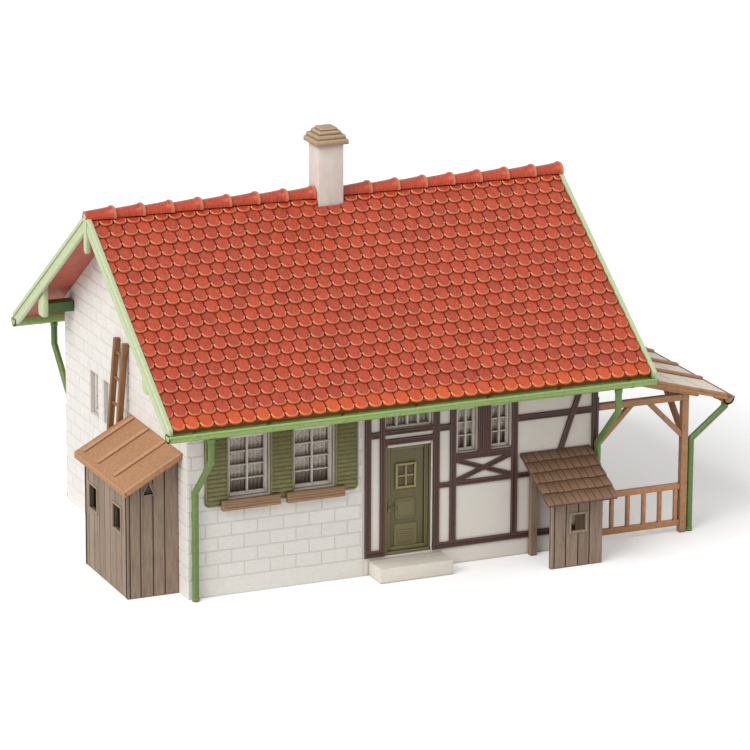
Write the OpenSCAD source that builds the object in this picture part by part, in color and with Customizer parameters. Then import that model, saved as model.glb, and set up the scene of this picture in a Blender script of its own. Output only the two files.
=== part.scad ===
// Model building: a half-timbered chalet with a lean-to shed, a small
// store and a timber canopy, made as a kit of thin plastic mouldings.
// X runs along the ridge, Y from the front to the back, Z up. The origin
// is the centre of the house walls' footprint, on the ground.

/* [House] */
// Length of the house walls along the ridge
house_l = 95; // [86:0.5:125]
// Width of the house walls across the ridge
house_w = 75; // [62:0.5:95]
// Thickness of the wall mouldings
wall_t = 2; // [1.6:0.1:2.4]
// Height of the long walls, up to the underside of the roof
wall_h = 47.2; // [42:0.2:58]
// Thickness of the floor plate between the walls
floor_t = 1.5; // [1:0.1:3]
// Length of the masonry stretch of the front wall
masonry_l = 40.2; // [39.5:0.1:42]

/* [Main roof] */
// Slope of the main roof
roof_pitch = 35; // [30:0.5:42]
// Thickness of each roof slope
roof_t = 1.6; // [1.2:0.1:2]
// How far the roof reaches past the long walls
eave_reach = 11.4; // [9:0.1:14]
// How far the roof reaches past the gable walls
verge_reach = 8.4; // [6:0.1:11]
// Depth of the bargeboards
board_h = 3.8; // [3:0.1:5]
// Thickness of the bargeboards
board_t = 1; // [0.8:0.1:1.5]
// How far a bargeboard stands above the roof surface
board_lip = 0.3; // [0:0.1:0.8]
// Radius of the ridge capping
ridge_r = 1.8; // [1.4:0.1:2.4]
// Length of the pendant at the top of each gable
pendant_drop = 9; // [6:0.5:12]
// Width of the pendant
pendant_w = 1.4; // [1:0.1:2]
// Depth of the purlins that carry the verges
purlin_h = 5; // [3:0.2:6]
// Width of those purlins
purlin_w = 3.2; // [2:0.2:4]
// Distance from a long wall's face to the middle of its purlin
purlin_inset = 5; // [3:0.2:12]

/* [Chimney] */
// Side of the square chimney shaft
chimney_side = 5.8; // [4.5:0.1:7]
// Distance from the left gable wall to the chimney
chimney_x = 44.2; // [20:0.2:64]
// How far the shaft stands above the ridge
chimney_rise = 10.8; // [8:0.2:16]
// Height of each of the cap's steps
cap_step_h = [1.5, 1.2, 1.2]; // [0.8:0.1:2.4]
// How far each of the cap's steps stands past the shaft
cap_reach = [1.2, 0.5, -0.6]; // [-1.2:0.1:1.6]

/* [Gutters and pipes] */
// Outer radius of the eaves gutters
gutter_r = 1.5; // [1.3:0.1:1.8]
// Wall of the gutters
gutter_t = 0.45; // [0.3:0.05:0.6]
// Radius of the downpipes
pipe_r = 0.75; // [0.5:0.05:0.9]
// Gap between a downpipe and the wall
pipe_gap = 0.55; // [0.3:0.05:1]
// Distance from a gable wall's plane to the nearest downpipe
pipe_inset = 1.2; // [0.8:0.1:1.6]
// Length of a downpipe's upright end under the gutter
pipe_drop = 5; // [3:0.2:8]

/* [Door] */
// Distance from the left corner to the door opening
door_x = 44.8; // [44.6:0.1:45.2]
// Width of the door opening
door_w = 11.2; // [10.6:0.1:11.4]
// Height of the door sill above the ground
door_sill = 3.9; // [3.4:0.1:4.4]
// Height of the door opening
door_h = 24.7; // [22:0.1:26]
// Width of the door frame's members
door_frame = 0.7; // [0.5:0.1:1.1]
// Thickness of the door leaf
door_t = 1; // [0.7:0.1:1.2]
// Height of the transom light over the door
transom_h = 3.4; // [2.4:0.1:4]
// Height of the wall left between the door and the transom light
transom_gap = 3.2; // [2.6:0.1:3.6]
// Length, depth and height of the door step
step_size = [17, 6.5, 3.3]; // [3:0.1:18]
// Distance from the left corner to the door step
step_x = 41.2; // [38:0.1:44]

/* [Windows] */
// Left edges of the windows in the masonry
masonry_window_x = [9.1, 23.8]; // [8.6:0.1:24.4]
// Width of the windows in the masonry
masonry_window_w = 9.4; // [8.6:0.1:9.4]
// Left edges of the casements in the timber framing
casement_x = [61.8, 69.7]; // [61.4:0.1:72]
// Width of the casements in the timber framing
casement_w = 4.6; // [3.6:0.1:5]
// Distances from the rear corner to the far edges of the gable windows
gable_window_y = [16.4, 24.8]; // [14:0.1:28]
// Width of the gable windows
gable_window_w = 5; // [4:0.1:6]
// Left edges of the windows in the rear wall
rear_window_x = [14, 43, 72]; // [12:0.5:76]
// Height of the sills of the windows in masonry
sill_z = 21.2; // [18:0.1:24]
// Height of the sills of the casements and gable windows
high_sill_z = 24.9; // [23:0.1:26]
// Height of the heads of all the windows
window_head_z = 34.6; // [32:0.1:37]
// Width of the window frames' members
frame_w = 0.8; // [0.5:0.1:1.1]
// Widths of the upright and the level bars of the windows
bar_w = [0.5, 0.3]; // [0.2:0.05:0.7]
// Thickness of the window frames
frame_t = 0.8; // [0.5:0.1:1]
// Thickness of the curtained panes behind the frames
pane_t = 0.3; // [0.2:0.05:0.4]
// Width of a shutter that closes half a window
shutter_w = 5.2; // [4.4:0.1:5.2]
// Thickness of the shutters
shutter_t = 0.7; // [0.4:0.1:1]
// How far the shutters reach below the sills and above the heads
shutter_lap = [1.3, 0.6]; // [0:0.1:2]
// Gap between a shutter and its window
shutter_gap = 0.1; // [0:0.05:0.4]
// Length, depth and height of a window box
box_size = [13.1, 1.2, 2.2]; // [0.8:0.1:13.6]
// How far a window box hangs below its sill
box_drop = 2.1; // [1.6:0.1:2.6]

/* [Timber framing] */
// How far the framing stands out of the wall panels
timber_t = 0.4; // [0.2:0.1:0.6]
// Width of the posts
post_w = 1.4; // [1:0.1:1.8]
// Height and depth of the sill beam
sill_beam = [3.9, 1.4]; // [1:0.1:5]
// Height and depth of the middle rail
mid_rail = [17.6, 1.1]; // [0.8:0.1:19]
// Height and depth of the window rail
window_rail = [23.3, 1.5]; // [1:0.1:24]
// Height and depth of the upper rail
upper_rail = [30.3, 1.4]; // [1:0.1:31]
// Height and depth of the head rail
head_rail = [35, 1.5]; // [1:0.1:38]

/* [Shed] */
// Length of the shed along the gable wall
shed_l = 26; // [20:0.5:30]
// How far the shed stands out of the gable wall
shed_w = 11.6; // [9:0.1:14]
// Distance from the front corner to the shed
shed_y = 5; // [4:0.1:8]
// Height of the shed roof's top at the gable wall
shed_ridge_z = 31.6; // [28:0.1:34]
// Slope of the shed roof
shed_pitch = 28.5; // [22:0.5:32]
// Thickness of the shed's boards
shed_t = 1; // [0.8:0.1:1.4]
// Thickness of the shed roof
shed_roof_t = 1.1; // [0.8:0.1:1.6]
// How far the shed roof reaches past the front, the rear and the side
shed_reach = [2.6, 2.4, 1.4]; // [0.8:0.1:3]

/* [Ladder] */
// Height of the ladder's top
ladder_h = 47; // [40:0.5:50]
// Lean of the ladder
ladder_lean = 5; // [3:0.5:8]
// Distance between the ladder's stiles
ladder_w = 5.2; // [4:0.1:6]
// Side of the square stiles
stile = 1.2; // [0.8:0.1:1.4]
// Spacing of the rungs
rung_pitch = 5.6; // [3:0.1:7]
// Radius of the rungs
rung_r = 0.35; // [0.25:0.05:0.5]
// Gap between the ladder and the shed roof
ladder_gap = 0.3; // [0.2:0.1:1]

/* [Store] */
// Length of the small store along the front wall
store_l = 12.2; // [10:0.1:14]
// How far the store stands out of the front wall
store_w = 11.7; // [9:0.1:13]
// Distance from the right corner to the store
store_inset = 4.1; // [3.6:0.1:6]
// Height of the store roof's top at the front wall
store_ridge_z = 23.6; // [20:0.1:24.6]
// Slope of the store roof
store_pitch = 27.5; // [20:0.5:32]
// How far the store roof reaches past each side and the front
store_reach = [2.2, 3.2]; // [1:0.1:4]

/* [Canopy] */
// How far the canopy posts stand from the gable wall
canopy_l = 22.4; // [18:0.2:28]
// Side of the square posts
canopy_post = 1.6; // [1.6:0.1:2.4]
// Height of the underside of the canopy's beams
beam_z = 30.3; // [27:0.1:31]
// Depth of the canopy's beams
beam_h = 1.5; // [1.2:0.1:2]
// Width of the canopy's beams
beam_w = 1.4; // [1:0.1:1.6]
// Slope of the canopy roof
canopy_pitch = 15.6; // [13:0.2:17]
// How far the canopy roof reaches past its posts
canopy_reach = 8.7; // [6:0.1:10]
// Depth of the canopy's rafters
rafter_h = 0.8; // [0.7:0.1:1.2]
// Width of the canopy's rafters
rafter_w = 1.3; // [1:0.1:1.6]
// How far the rafters reach past the canopy posts
rafter_reach = 2.4; // [1:0.1:6]
// Thickness of the canopy roof
canopy_roof_t = 1.3; // [0.8:0.1:1.6]
// Reach of the canopy's braces along the beams and down the posts
brace_run = 8.5; // [6:0.1:10]
// Width of the braces
brace_w = 1.1; // [0.8:0.1:1.4]
// Heights of the two rails of the railing
rail_z = [1.6, 10]; // [1:0.1:12]
// Height and width of the rails
rail_size = [1.4, 1]; // [0.8:0.1:1.6]
// Width of the balusters
baluster_w = 0.9; // [0.6:0.1:1.2]
// Radius of the canopy's gutter
canopy_gutter_r = 1.4; // [1.2:0.1:1.6]

/* [Hidden] */
$fn = 32;
// Side of a cutter that has to reach past everything
far = 400;
// How far a cutter passes the face that it opens
slip = 1;

// Main roof: heights of its upper and under side over a line at y
roof_rise = tan(roof_pitch);
roof_v = roof_t / cos(roof_pitch);
ridge_z = wall_h + roof_v + house_w / 2 * roof_rise;
function roof_top(y) = ridge_z - abs(y - house_w / 2) * roof_rise;
function roof_under(y) = roof_top(y) - roof_v;

// Chimney cap: height of the steps that lie under step i
function cap_base(i) = i == 0 ? 0 : cap_base(i - 1) + cap_step_h[i - 1];

// Gutter at the eaves: the roof's edge drips into it
gutter_y = 0.6 - eave_reach;
gutter_z = roof_under(-eave_reach) + 0.6;
gutter_back = gutter_y + gutter_r;
gutter_lip = 0.2;

// Timber-framed stretch of the front wall
framed_l = house_l - masonry_l;
door_head = door_sill + door_h;
transom_z = door_head + transom_gap;
post_x = [masonry_l, masonry_l + 3.5, door_x + door_w,
    casement_x[0] - post_w - 0.4, casement_x[1] + casement_w + 0.2,
    house_l - post_w];
timber_top = wall_h - 3;
// Depth of the timber over the door
lintel_h = 1.3;
// Widths of the crossed braces and of the corner braces
brace_t = [1, 1.2];
// Distance from the front corner to the right gable's second post
gable_post_y = 18;
// Width of the members round the transom light
transom_frame = 0.6;
// How far a door frame reaches behind its leaf
frame_rebate = 0.4;
// Radius of the shutters' lower corners
shutter_corner = 0.8;

// Openings of the shed: a pointed vent in its front, and two windows in
// its side, at these distances from its front
shed_vent = [[-8, 22.6], [-5.7, 22.6], [-6.8, 25]];
shed_window_y = [3.5, 18.1];
shed_window_z = 13.5;
shed_window_size = [5.2, 5.6];

// Shed roof: heights of its upper and under side at x outside the wall
shed_v = shed_roof_t / cos(shed_pitch);
function shed_top(x) = shed_ridge_z + x * tan(shed_pitch);
function shed_under(x) = shed_top(x) - shed_v;

// Store roof: heights of its upper and under side at y before the wall
store_x = house_l - store_inset - store_l;
store_t = 1;
store_post = 1.4;
store_v = shed_roof_t / cos(store_pitch);
// The store's window: its place and size in the front boards
store_window = [4.5, 7.9];
store_window_size = [3.8, 4];
function store_top(y) = store_ridge_z + y * tan(store_pitch);
function store_under(y) = store_top(y) - store_v;

// Canopy: its roof rests on rafters, and the rafters on the outer beam
canopy_rise = tan(canopy_pitch);
canopy_x0 = house_l + timber_t;
post_x0 = house_l + canopy_l - canopy_post;
beam_y = [(canopy_post - beam_w) / 2,
    house_w - (canopy_post + beam_w) / 2];
canopy_eave_x = house_l + canopy_l + canopy_reach;
canopy_seat_z = beam_z + beam_h;
canopy_lip = 1;
rafters = 7;
balusters = 5;
function rafter_under(x) =
    canopy_seat_z + (post_x0 - x) * canopy_rise;
function canopy_under(x) =
    rafter_under(x) + rafter_h / cos(canopy_pitch);
function canopy_top(x) =
    canopy_under(x) + canopy_roof_t / cos(canopy_pitch);
canopy_gutter_x = canopy_eave_x + 0.5;
canopy_gutter_z = canopy_under(canopy_eave_x) + 0.1;

// Places the pieces, which are measured from the left front corner
module from_corner() {
    translate([-house_l / 2, -house_w / 2, 0]) children();
}

// Extrudes an outline of Y and Z along X
module along_x(x0, len) {
    translate([x0, 0, 0]) rotate([90, 0, 90])
        linear_extrude(len) children();
}

// Extrudes an outline of X and Z along Y
module along_y(y0, len) {
    translate([0, y0 + len, 0]) rotate([90, 0, 0])
        linear_extrude(len) children();
}

// Makes the same piece at the rear of the house
module at_rear() {
    translate([0, house_w, 0]) mirror([0, 1, 0]) children();
}

// Makes the same piece at the other gable
module at_right() {
    translate([house_l, 0, 0]) mirror([1, 0, 0]) children();
}

// Everything that lies under the roof's upper surface
module under_roof_top() {
    along_x(-far / 2, far) polygon([[-far / 2, roof_top(-far / 2)],
        [house_w / 2, ridge_z],
        [house_w + far / 2, roof_top(house_w + far / 2)]]);
}

// A rod with round ends between two points
module rod(a, b, r) {
    d = b - a;
    translate(a)
        rotate([0, acos(d[2] / norm(d)), atan2(d[1], d[0])])
            cylinder(h = norm(d), r = r);
    translate(a) sphere(r);
    translate(b) sphere(r);
}

// Openings through a wall in the XZ plane
module openings(xs, w, z0, z1) {
    for (x = xs)
        translate([x, -slip, z0]) cube([w, wall_t + 2 * slip, z1 - z0]);
}

// A long wall, its top cut to the slope of the roof
module long_wall(x0, len) {
    along_x(x0, len) polygon([[0, 0], [wall_t, 0],
        [wall_t, roof_under(wall_t)], [0, roof_under(0)]]);
}

module floor_plate() {
    color("gainsboro") from_corner()
        translate([wall_t, wall_t, 0])
            cube([house_l - 2 * wall_t, house_w - 2 * wall_t, floor_t]);
}

module front_masonry_wall() {
    color("white") from_corner() difference() {
        long_wall(0, masonry_l);
        openings(masonry_window_x, masonry_window_w, sill_z,
            window_head_z);
    }
}

module front_framed_wall() {
    color("white") from_corner() difference() {
        long_wall(masonry_l, framed_l);
        openings([door_x], door_w, door_sill, door_head);
        openings([door_x], door_w, transom_z, transom_z + transom_h);
        openings(casement_x, casement_w, high_sill_z, window_head_z);
    }
}

module rear_wall() {
    color("white") from_corner() at_rear() difference() {
        long_wall(0, house_l);
        openings(rear_window_x, masonry_window_w, sill_z,
            window_head_z);
    }
}

// A gable wall between the long walls, with its two windows
module gable_wall() {
    difference() {
        along_x(0, wall_t) polygon([[wall_t, 0],
            [house_w - wall_t, 0],
            [house_w - wall_t, roof_under(house_w - wall_t)],
            [house_w / 2, roof_under(house_w / 2)],
            [wall_t, roof_under(wall_t)]]);
        for (y = gable_window_y)
            translate([-slip, house_w - y - gable_window_w, high_sill_z])
                cube([wall_t + 2 * slip, gable_window_w,
                    window_head_z - high_sill_z]);
    }
}

module left_gable_wall() {
    color("white") from_corner() gable_wall();
}

module right_gable_wall() {
    color("white") from_corner() at_right() gable_wall();
}

// A straight timber of a frame between two points of its outline
module strut(a, b, w) {
    n = w / 2 * [a[1] - b[1], b[0] - a[0]] / norm(b - a);
    polygon([a - n, b - n, b + n, a + n]);
}

// An upright of a frame from the sill beam upward
module upright(x, w, z1) {
    translate([x, sill_beam[0]]) square([w, z1 - sill_beam[0]]);
}

// A level timber of a frame
module level(x0, x1, z, h) {
    translate([x0, z]) square([x1 - x0, h]);
}

// Outline of the framing on the front wall
module front_frame_outline() {
    for (x = [post_x[0], post_x[2] + 0.1, post_x[3], post_x[4], post_x[5]])
        upright(x, post_w, timber_top);
    upright(post_x[1], door_x - post_x[1], timber_top);
    level(masonry_l, door_x, sill_beam[0], sill_beam[1]);
    level(post_x[2], house_l, sill_beam[0], sill_beam[1]);
    level(post_x[3], house_l, mid_rail[0], mid_rail[1]);
    level(post_x[3], post_x[4], window_rail[0], window_rail[1]);
    level(post_x[2], post_x[3], mid_rail[0], mid_rail[1]);
    for (x = [[masonry_l, door_x], [post_x[2], post_x[3]],
        [post_x[4], house_l]])
        level(x[0], x[1], upper_rail[0], upper_rail[1]);
    level(door_x - 1, post_x[2] + 1, door_head, lintel_h);
    level(door_x - 1, post_x[2] + 1, transom_z - 1, 1);
    level(masonry_l, house_l, head_rail[0], head_rail[1]);
    translate([casement_x[0] + casement_w, high_sill_z])
        square([casement_x[1] - casement_x[0] - casement_w,
            head_rail[0] - high_sill_z]);
    strut([post_x[3] + post_w, mid_rail[0] + mid_rail[1]],
        [post_x[4], window_rail[0]], brace_t[0]);
    strut([post_x[3] + post_w, window_rail[0]],
        [post_x[4], mid_rail[0] + mid_rail[1]], brace_t[0]);
    strut([post_x[4] + post_w + 8.8, mid_rail[0] + mid_rail[1]],
        [post_x[5] - 3.2, head_rail[0]], brace_t[1]);
}

module front_timber_frame() {
    color("saddlebrown") from_corner()
        along_y(-timber_t, timber_t) difference() {
            front_frame_outline();
            translate([door_x, 0]) square([door_w, door_head]);
            translate([door_x, transom_z]) square([door_w, transom_h]);
            for (x = casement_x)
                translate([x, high_sill_z])
                    square([casement_w, window_head_z - high_sill_z]);
        }
}

// Outline of the framing on the right gable wall, under the canopy
module gable_frame_outline() {
    windows = [for (y = gable_window_y) house_w - y - gable_window_w];
    top = head_rail[0] - beam_h;
    for (y = [0, gable_post_y, windows[1] - post_w,
        windows[0] + gable_window_w, house_w - post_w])
        upright(y, post_w, top);
    level(0, house_w, sill_beam[0], sill_beam[1]);
    level(0, house_w, mid_rail[0], mid_rail[1]);
    level(windows[1] - post_w, windows[0] + gable_window_w,
        window_rail[0], window_rail[1]);
    level(0, house_w, top - beam_h, beam_h);
    strut([post_w, top - beam_h],
        [gable_post_y, mid_rail[0] + mid_rail[1]], brace_t[1]);
}

module right_timber_frame() {
    color("saddlebrown") from_corner()
        along_x(house_l, timber_t) difference() {
            gable_frame_outline();
            for (y = gable_window_y)
                translate([house_w - y - gable_window_w, high_sill_z])
                    square([gable_window_w,
                        window_head_z - high_sill_z]);
        }
}

// The front roof slope, notched at the ridge for the chimney
module roof_slope() {
    difference() {
        along_x(board_t - verge_reach,
            house_l + 2 * (verge_reach - board_t))
            polygon([[-eave_reach, roof_under(-eave_reach)],
                [house_w / 2, roof_under(house_w / 2)],
                [house_w / 2, ridge_z],
                [-eave_reach, roof_top(-eave_reach)]]);
        translate([chimney_x, (house_w - chimney_side) / 2, 0])
            cube([chimney_side, chimney_side, far / 2]);
    }
}

module front_roof_slope() {
    color("orangered") from_corner() roof_slope();
}

module rear_roof_slope() {
    color("orangered") from_corner() at_rear() roof_slope();
}

module ridge_capping() {
    color("firebrick") from_corner() difference() {
        along_x(-verge_reach, house_l + 2 * verge_reach)
            translate([house_w / 2, ridge_z - 0.5]) circle(ridge_r);
        under_roof_top();
        translate([chimney_x, 0, 0])
            cube([chimney_side, house_w, far / 2]);
        for (x = [-verge_reach, house_l + verge_reach - board_t])
            translate([x, 0, 0])
                cube([board_t, house_w, ridge_z + board_lip]);
    }
}

// One front bargeboard, cut off over the gutter
module bargeboard() {
    y1 = (house_w - pendant_w) / 2;
    top = gutter_z + gutter_lip;
    along_x(-verge_reach, board_t)
        polygon([[y1, roof_top(y1) + board_lip],
            [y1, roof_top(y1) + board_lip - board_h],
            [gutter_back, roof_top(gutter_back) + board_lip - board_h],
            [gutter_back, top], [-eave_reach, top],
            [-eave_reach, roof_top(-eave_reach) + board_lip]]);
}

module left_bargeboards() {
    color("darkseagreen") from_corner() {
        bargeboard();
        at_rear() bargeboard();
    }
}

module right_bargeboards() {
    color("darkseagreen") from_corner() at_right() {
        bargeboard();
        at_rear() bargeboard();
    }
}

// The post at the top of a gable, pointed at its lower end
module pendant() {
    w = pendant_w / 2;
    top = ridge_z + board_lip;
    along_x(-verge_reach, board_t) translate([house_w / 2, 0])
        polygon([[-w, top - w * roof_rise], [0, top],
            [w, top - w * roof_rise], [w, top - pendant_drop + w],
            [0, top - pendant_drop], [-w, top - pendant_drop + w]]);
}

module gable_pendants() {
    color("darkseagreen") from_corner() {
        pendant();
        at_right() pendant();
    }
}

// The end of a purlin between a bargeboard and the gable wall
module purlin_end() {
    y0 = purlin_inset - purlin_w / 2;
    y1 = y0 + purlin_w;
    along_x(board_t - verge_reach, verge_reach - board_t)
        polygon([[y0, roof_under(y0) - purlin_h],
            [y1, roof_under(y0) - purlin_h],
            [y1, roof_under(y1)], [y0, roof_under(y0)]]);
}

module purlin_ends() {
    color("darkgreen") from_corner() {
        purlin_end();
        at_rear() purlin_end();
        at_right() purlin_end();
        at_rear() at_right() purlin_end();
    }
}

// Lower half of a disc
module half_disc(r) {
    intersection() {
        circle(r);
        translate([-r, -r]) square([2 * r, r]);
    }
}

// A half-round gutter with closed ends, hung on a flange under the roof
module eaves_gutter() {
    len = house_l + 2 * verge_reach;
    along_x(-verge_reach, len) {
        translate([gutter_y, gutter_z]) difference() {
            half_disc(gutter_r);
            circle(gutter_r - gutter_t);
        }
        polygon([[gutter_back - gutter_t, gutter_z],
            [gutter_back, gutter_z],
            [gutter_back, gutter_z + gutter_lip],
            [gutter_back - gutter_t, gutter_z + gutter_lip]]);
    }
    along_x(board_t - verge_reach, len - 2 * board_t)
        polygon([[gutter_back - gutter_t, gutter_z],
            [gutter_back, gutter_z],
            [gutter_back, roof_under(gutter_back)],
            [gutter_back - gutter_t,
                roof_under(gutter_back - gutter_t)]]);
    for (x = [-verge_reach, house_l + verge_reach - gutter_t])
        along_x(x, gutter_t) translate([gutter_y, gutter_z])
            half_disc(gutter_r);
}

module front_gutter() {
    color("limegreen") from_corner() eaves_gutter();
}

module rear_gutter() {
    color("limegreen") from_corner() at_rear() eaves_gutter();
}

// A downpipe: down from the gutter, back to the wall, down to the ground
module downpipe(x) {
    y1 = -pipe_gap - pipe_r;
    z0 = gutter_z - gutter_r;
    z1 = z0 - pipe_drop;
    z2 = z1 - (y1 - gutter_y);
    translate([x, gutter_y, z1]) cylinder(h = pipe_drop, r = pipe_r);
    rod([x, gutter_y, z1], [x, y1, z2], pipe_r);
    translate([x, y1, 0]) cylinder(h = z2, r = pipe_r);
}

module house_downpipes() {
    color("olivedrab") from_corner()
        for (x = [pipe_inset, house_l - pipe_inset + pipe_r]) {
            downpipe(x);
            at_rear() downpipe(x);
        }
}

module chimney_shaft() {
    sunk = roof_v + chimney_side / 2 * roof_rise;
    color("ivory") from_corner()
        translate([chimney_x, (house_w - chimney_side) / 2,
            ridge_z - sunk])
            cube([chimney_side, chimney_side, chimney_rise + sunk]);
}

module chimney_cap() {
    color("tan") from_corner()
        for (i = [0 : 2])
            translate([chimney_x - cap_reach[i],
                (house_w - chimney_side) / 2 - cap_reach[i],
                ridge_z + chimney_rise + cap_base(i)])
                cube([chimney_side + 2 * cap_reach[i],
                    chimney_side + 2 * cap_reach[i], cap_step_h[i]]);
}

module front_door() {
    color("olive") from_corner()
        translate([door_x + door_frame, wall_t - door_t - frame_t,
            door_sill + door_frame])
            cube([door_w - 2 * door_frame, door_t,
                door_h - 2 * door_frame]);
}

// A rectangular frame that fills an opening in the XZ plane
module window_frame(x, z0, w, h, member) {
    along_y(wall_t - frame_t - pane_t, frame_t) difference() {
        translate([x, z0]) square([w, h]);
        translate([x + member, z0 + member])
            square([w - 2 * member, h - 2 * member]);
    }
}

module door_frame() {
    color("white") from_corner()
        along_y(wall_t - door_t - frame_t - frame_rebate,
            door_t + frame_rebate)
            difference() {
                translate([door_x, door_sill]) square([door_w, door_h]);
                translate([door_x + door_frame, door_sill + door_frame])
                    square([door_w - 2 * door_frame,
                        door_h - 2 * door_frame]);
            }
}

module transom_window() {
    color("white") from_corner() {
        window_frame(door_x, transom_z, door_w, transom_h, transom_frame);
        along_y(wall_t - frame_t - pane_t, frame_t)
            for (i = [1 : 3])
                translate([door_x + (door_w * i / 2 - bar_w[1]) / 2,
                    transom_z + transom_frame / 2])
                    square([bar_w[1], transom_h - transom_frame]);
    }
}

module door_step() {
    color("whitesmoke") from_corner()
        translate([step_x, -step_size[1], 0]) cube(step_size);
}

// A glazed frame with crossing bars
module barred_window(x, z0, w, cols, rows) {
    h = window_head_z - z0;
    window_frame(x, z0, w, h, frame_w);
    along_y(wall_t - frame_t - pane_t, frame_t) {
        for (i = [1 : cols - 1])
            translate([x + w * i / cols - bar_w[0] / 2,
                z0 + frame_w / 2])
                square([bar_w[0], h - frame_w]);
        for (i = [1 : rows - 1])
            translate([x + frame_w / 2,
                z0 + h * i / rows - bar_w[1] / 2])
                square([w - frame_w, bar_w[1]]);
    }
}

module front_windows() {
    color("white") from_corner() {
        for (x = masonry_window_x)
            barred_window(x, sill_z, masonry_window_w, 2, 4);
        for (x = casement_x)
            barred_window(x, high_sill_z, casement_w, 2, 3);
    }
}

// The windows of a gable wall, turned from the plane of a long wall
module gable_window_set() {
    for (y = gable_window_y)
        translate([0, house_w - y, 0]) rotate([0, 0, -90])
            barred_window(0, high_sill_z, gable_window_w, 2, 3);
}

module gable_windows() {
    color("white") from_corner() {
        gable_window_set();
        at_right() gable_window_set();
    }
}

module rear_windows() {
    color("white") from_corner() at_rear()
        for (x = rear_window_x)
            barred_window(x, sill_z, masonry_window_w, 2, 4);
}

// A curtained pane that closes an opening behind its frame
module pane(x, z0, w, z1) {
    translate([x, wall_t - pane_t, z0]) cube([w, pane_t, z1 - z0]);
}

// The panes of one gable wall
module gable_pane_set() {
    for (y = gable_window_y)
        translate([0, house_w - y, 0]) rotate([0, 0, -90])
            pane(0, high_sill_z, gable_window_w, window_head_z);
}

module window_panes() {
    color("silver") from_corner() {
        for (x = masonry_window_x)
            pane(x, sill_z, masonry_window_w, window_head_z);
        for (x = casement_x)
            pane(x, high_sill_z, casement_w, window_head_z);
        pane(door_x, transom_z, door_w, transom_z + transom_h);
        gable_pane_set();
        at_right() gable_pane_set();
        at_rear() for (x = rear_window_x)
            pane(x, sill_z, masonry_window_w, window_head_z);
    }
}

// One shutter panel, its lower corners rounded
module shutter(x) {
    corner = shutter_corner;
    h = window_head_z - sill_z + shutter_lap[0] + shutter_lap[1];
    along_y(-shutter_t, shutter_t)
        translate([x, sill_z - shutter_lap[0]]) union() {
            translate([0, corner]) square([shutter_w, h - corner]);
            translate([corner, 0])
                square([shutter_w - 2 * corner, 2 * corner]);
            for (u = [corner, shutter_w - corner])
                translate([u, corner]) circle(corner);
        }
}

// One shutter between the front windows, and one at every other side
module shutters() {
    color("darkolivegreen") from_corner() {
        shutter(masonry_window_x[0] - shutter_w - shutter_gap);
        shutter((masonry_window_x[0] + masonry_window_w
            + masonry_window_x[1] - shutter_w) / 2);
        shutter(masonry_window_x[1] + masonry_window_w + shutter_gap);
        at_rear() for (x = rear_window_x) {
            shutter(x - shutter_w - shutter_gap);
            shutter(x + masonry_window_w + shutter_gap);
        }
    }
}

// The boxes are fixed on the shutters at both sides of their window
module window_boxes() {
    color("rosybrown") from_corner()
        for (x = masonry_window_x)
            translate([x + (masonry_window_w - box_size[0]) / 2,
                -shutter_t - box_size[1], sill_z - box_drop])
                cube(box_size);
}

// Outline of the shed's ends, under the slope of its roof
module shed_end_outline() {
    polygon([[-shed_w, 0], [0, 0], [0, shed_under(0)],
        [-shed_w, shed_under(-shed_w)]]);
}

module shed_end_walls() {
    color("gray") from_corner() {
        difference() {
            along_y(shed_y, shed_t) shed_end_outline();
            along_y(shed_y - slip, shed_t + 2 * slip)
                polygon(shed_vent);
        }
        along_y(shed_y + shed_l - shed_t, shed_t) shed_end_outline();
    }
}

module shed_side_wall() {
    color("gray") from_corner() difference() {
        along_y(shed_y + shed_t, shed_l - 2 * shed_t)
            polygon([[-shed_w, 0], [-shed_w + shed_t, 0],
                [-shed_w + shed_t, shed_under(-shed_w + shed_t)],
                [-shed_w, shed_under(-shed_w)]]);
        for (y = shed_window_y)
            translate([-shed_w - slip, shed_y + y, shed_window_z])
                cube([shed_t + 2 * slip, shed_window_size[0],
                    shed_window_size[1]]);
    }
}

module shed_roof() {
    x1 = -shed_w - shed_reach[2];
    y0 = shed_y - shed_reach[0];
    len = shed_l + shed_reach[0] + shed_reach[1];
    color("peru") from_corner()
        along_y(y0, len)
            polygon([[x1, shed_under(x1)], [0, shed_under(0)],
                [0, shed_top(0)], [x1, shed_top(x1)]]);
}

// The ladder leans on the gable wall behind the shed
module ladder() {
    y0 = shed_y + shed_l + shed_reach[1] + ladder_gap;
    len = ladder_h / cos(ladder_lean);
    rest_gap = 0.2;
    color("sienna") from_corner()
        intersection() {
            translate([-stile / 2 - rest_gap, 0, ladder_h])
                rotate([0, ladder_lean, 0])
                    translate([-stile / 2, y0, -len]) {
                        for (y = [0, ladder_w])
                            translate([0, y, -slip])
                                cube([stile, stile, len + slip]);
                        for (z = [rung_pitch / 2 : rung_pitch : len - stile])
                            translate([stile / 2, stile / 2, z])
                                rotate([-90, 0, 0])
                                    cylinder(h = ladder_w, r = rung_r);
                    }
            translate([-far / 2, -far / 2, 0]) cube([far / 2, far, far]);
        }
}

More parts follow.
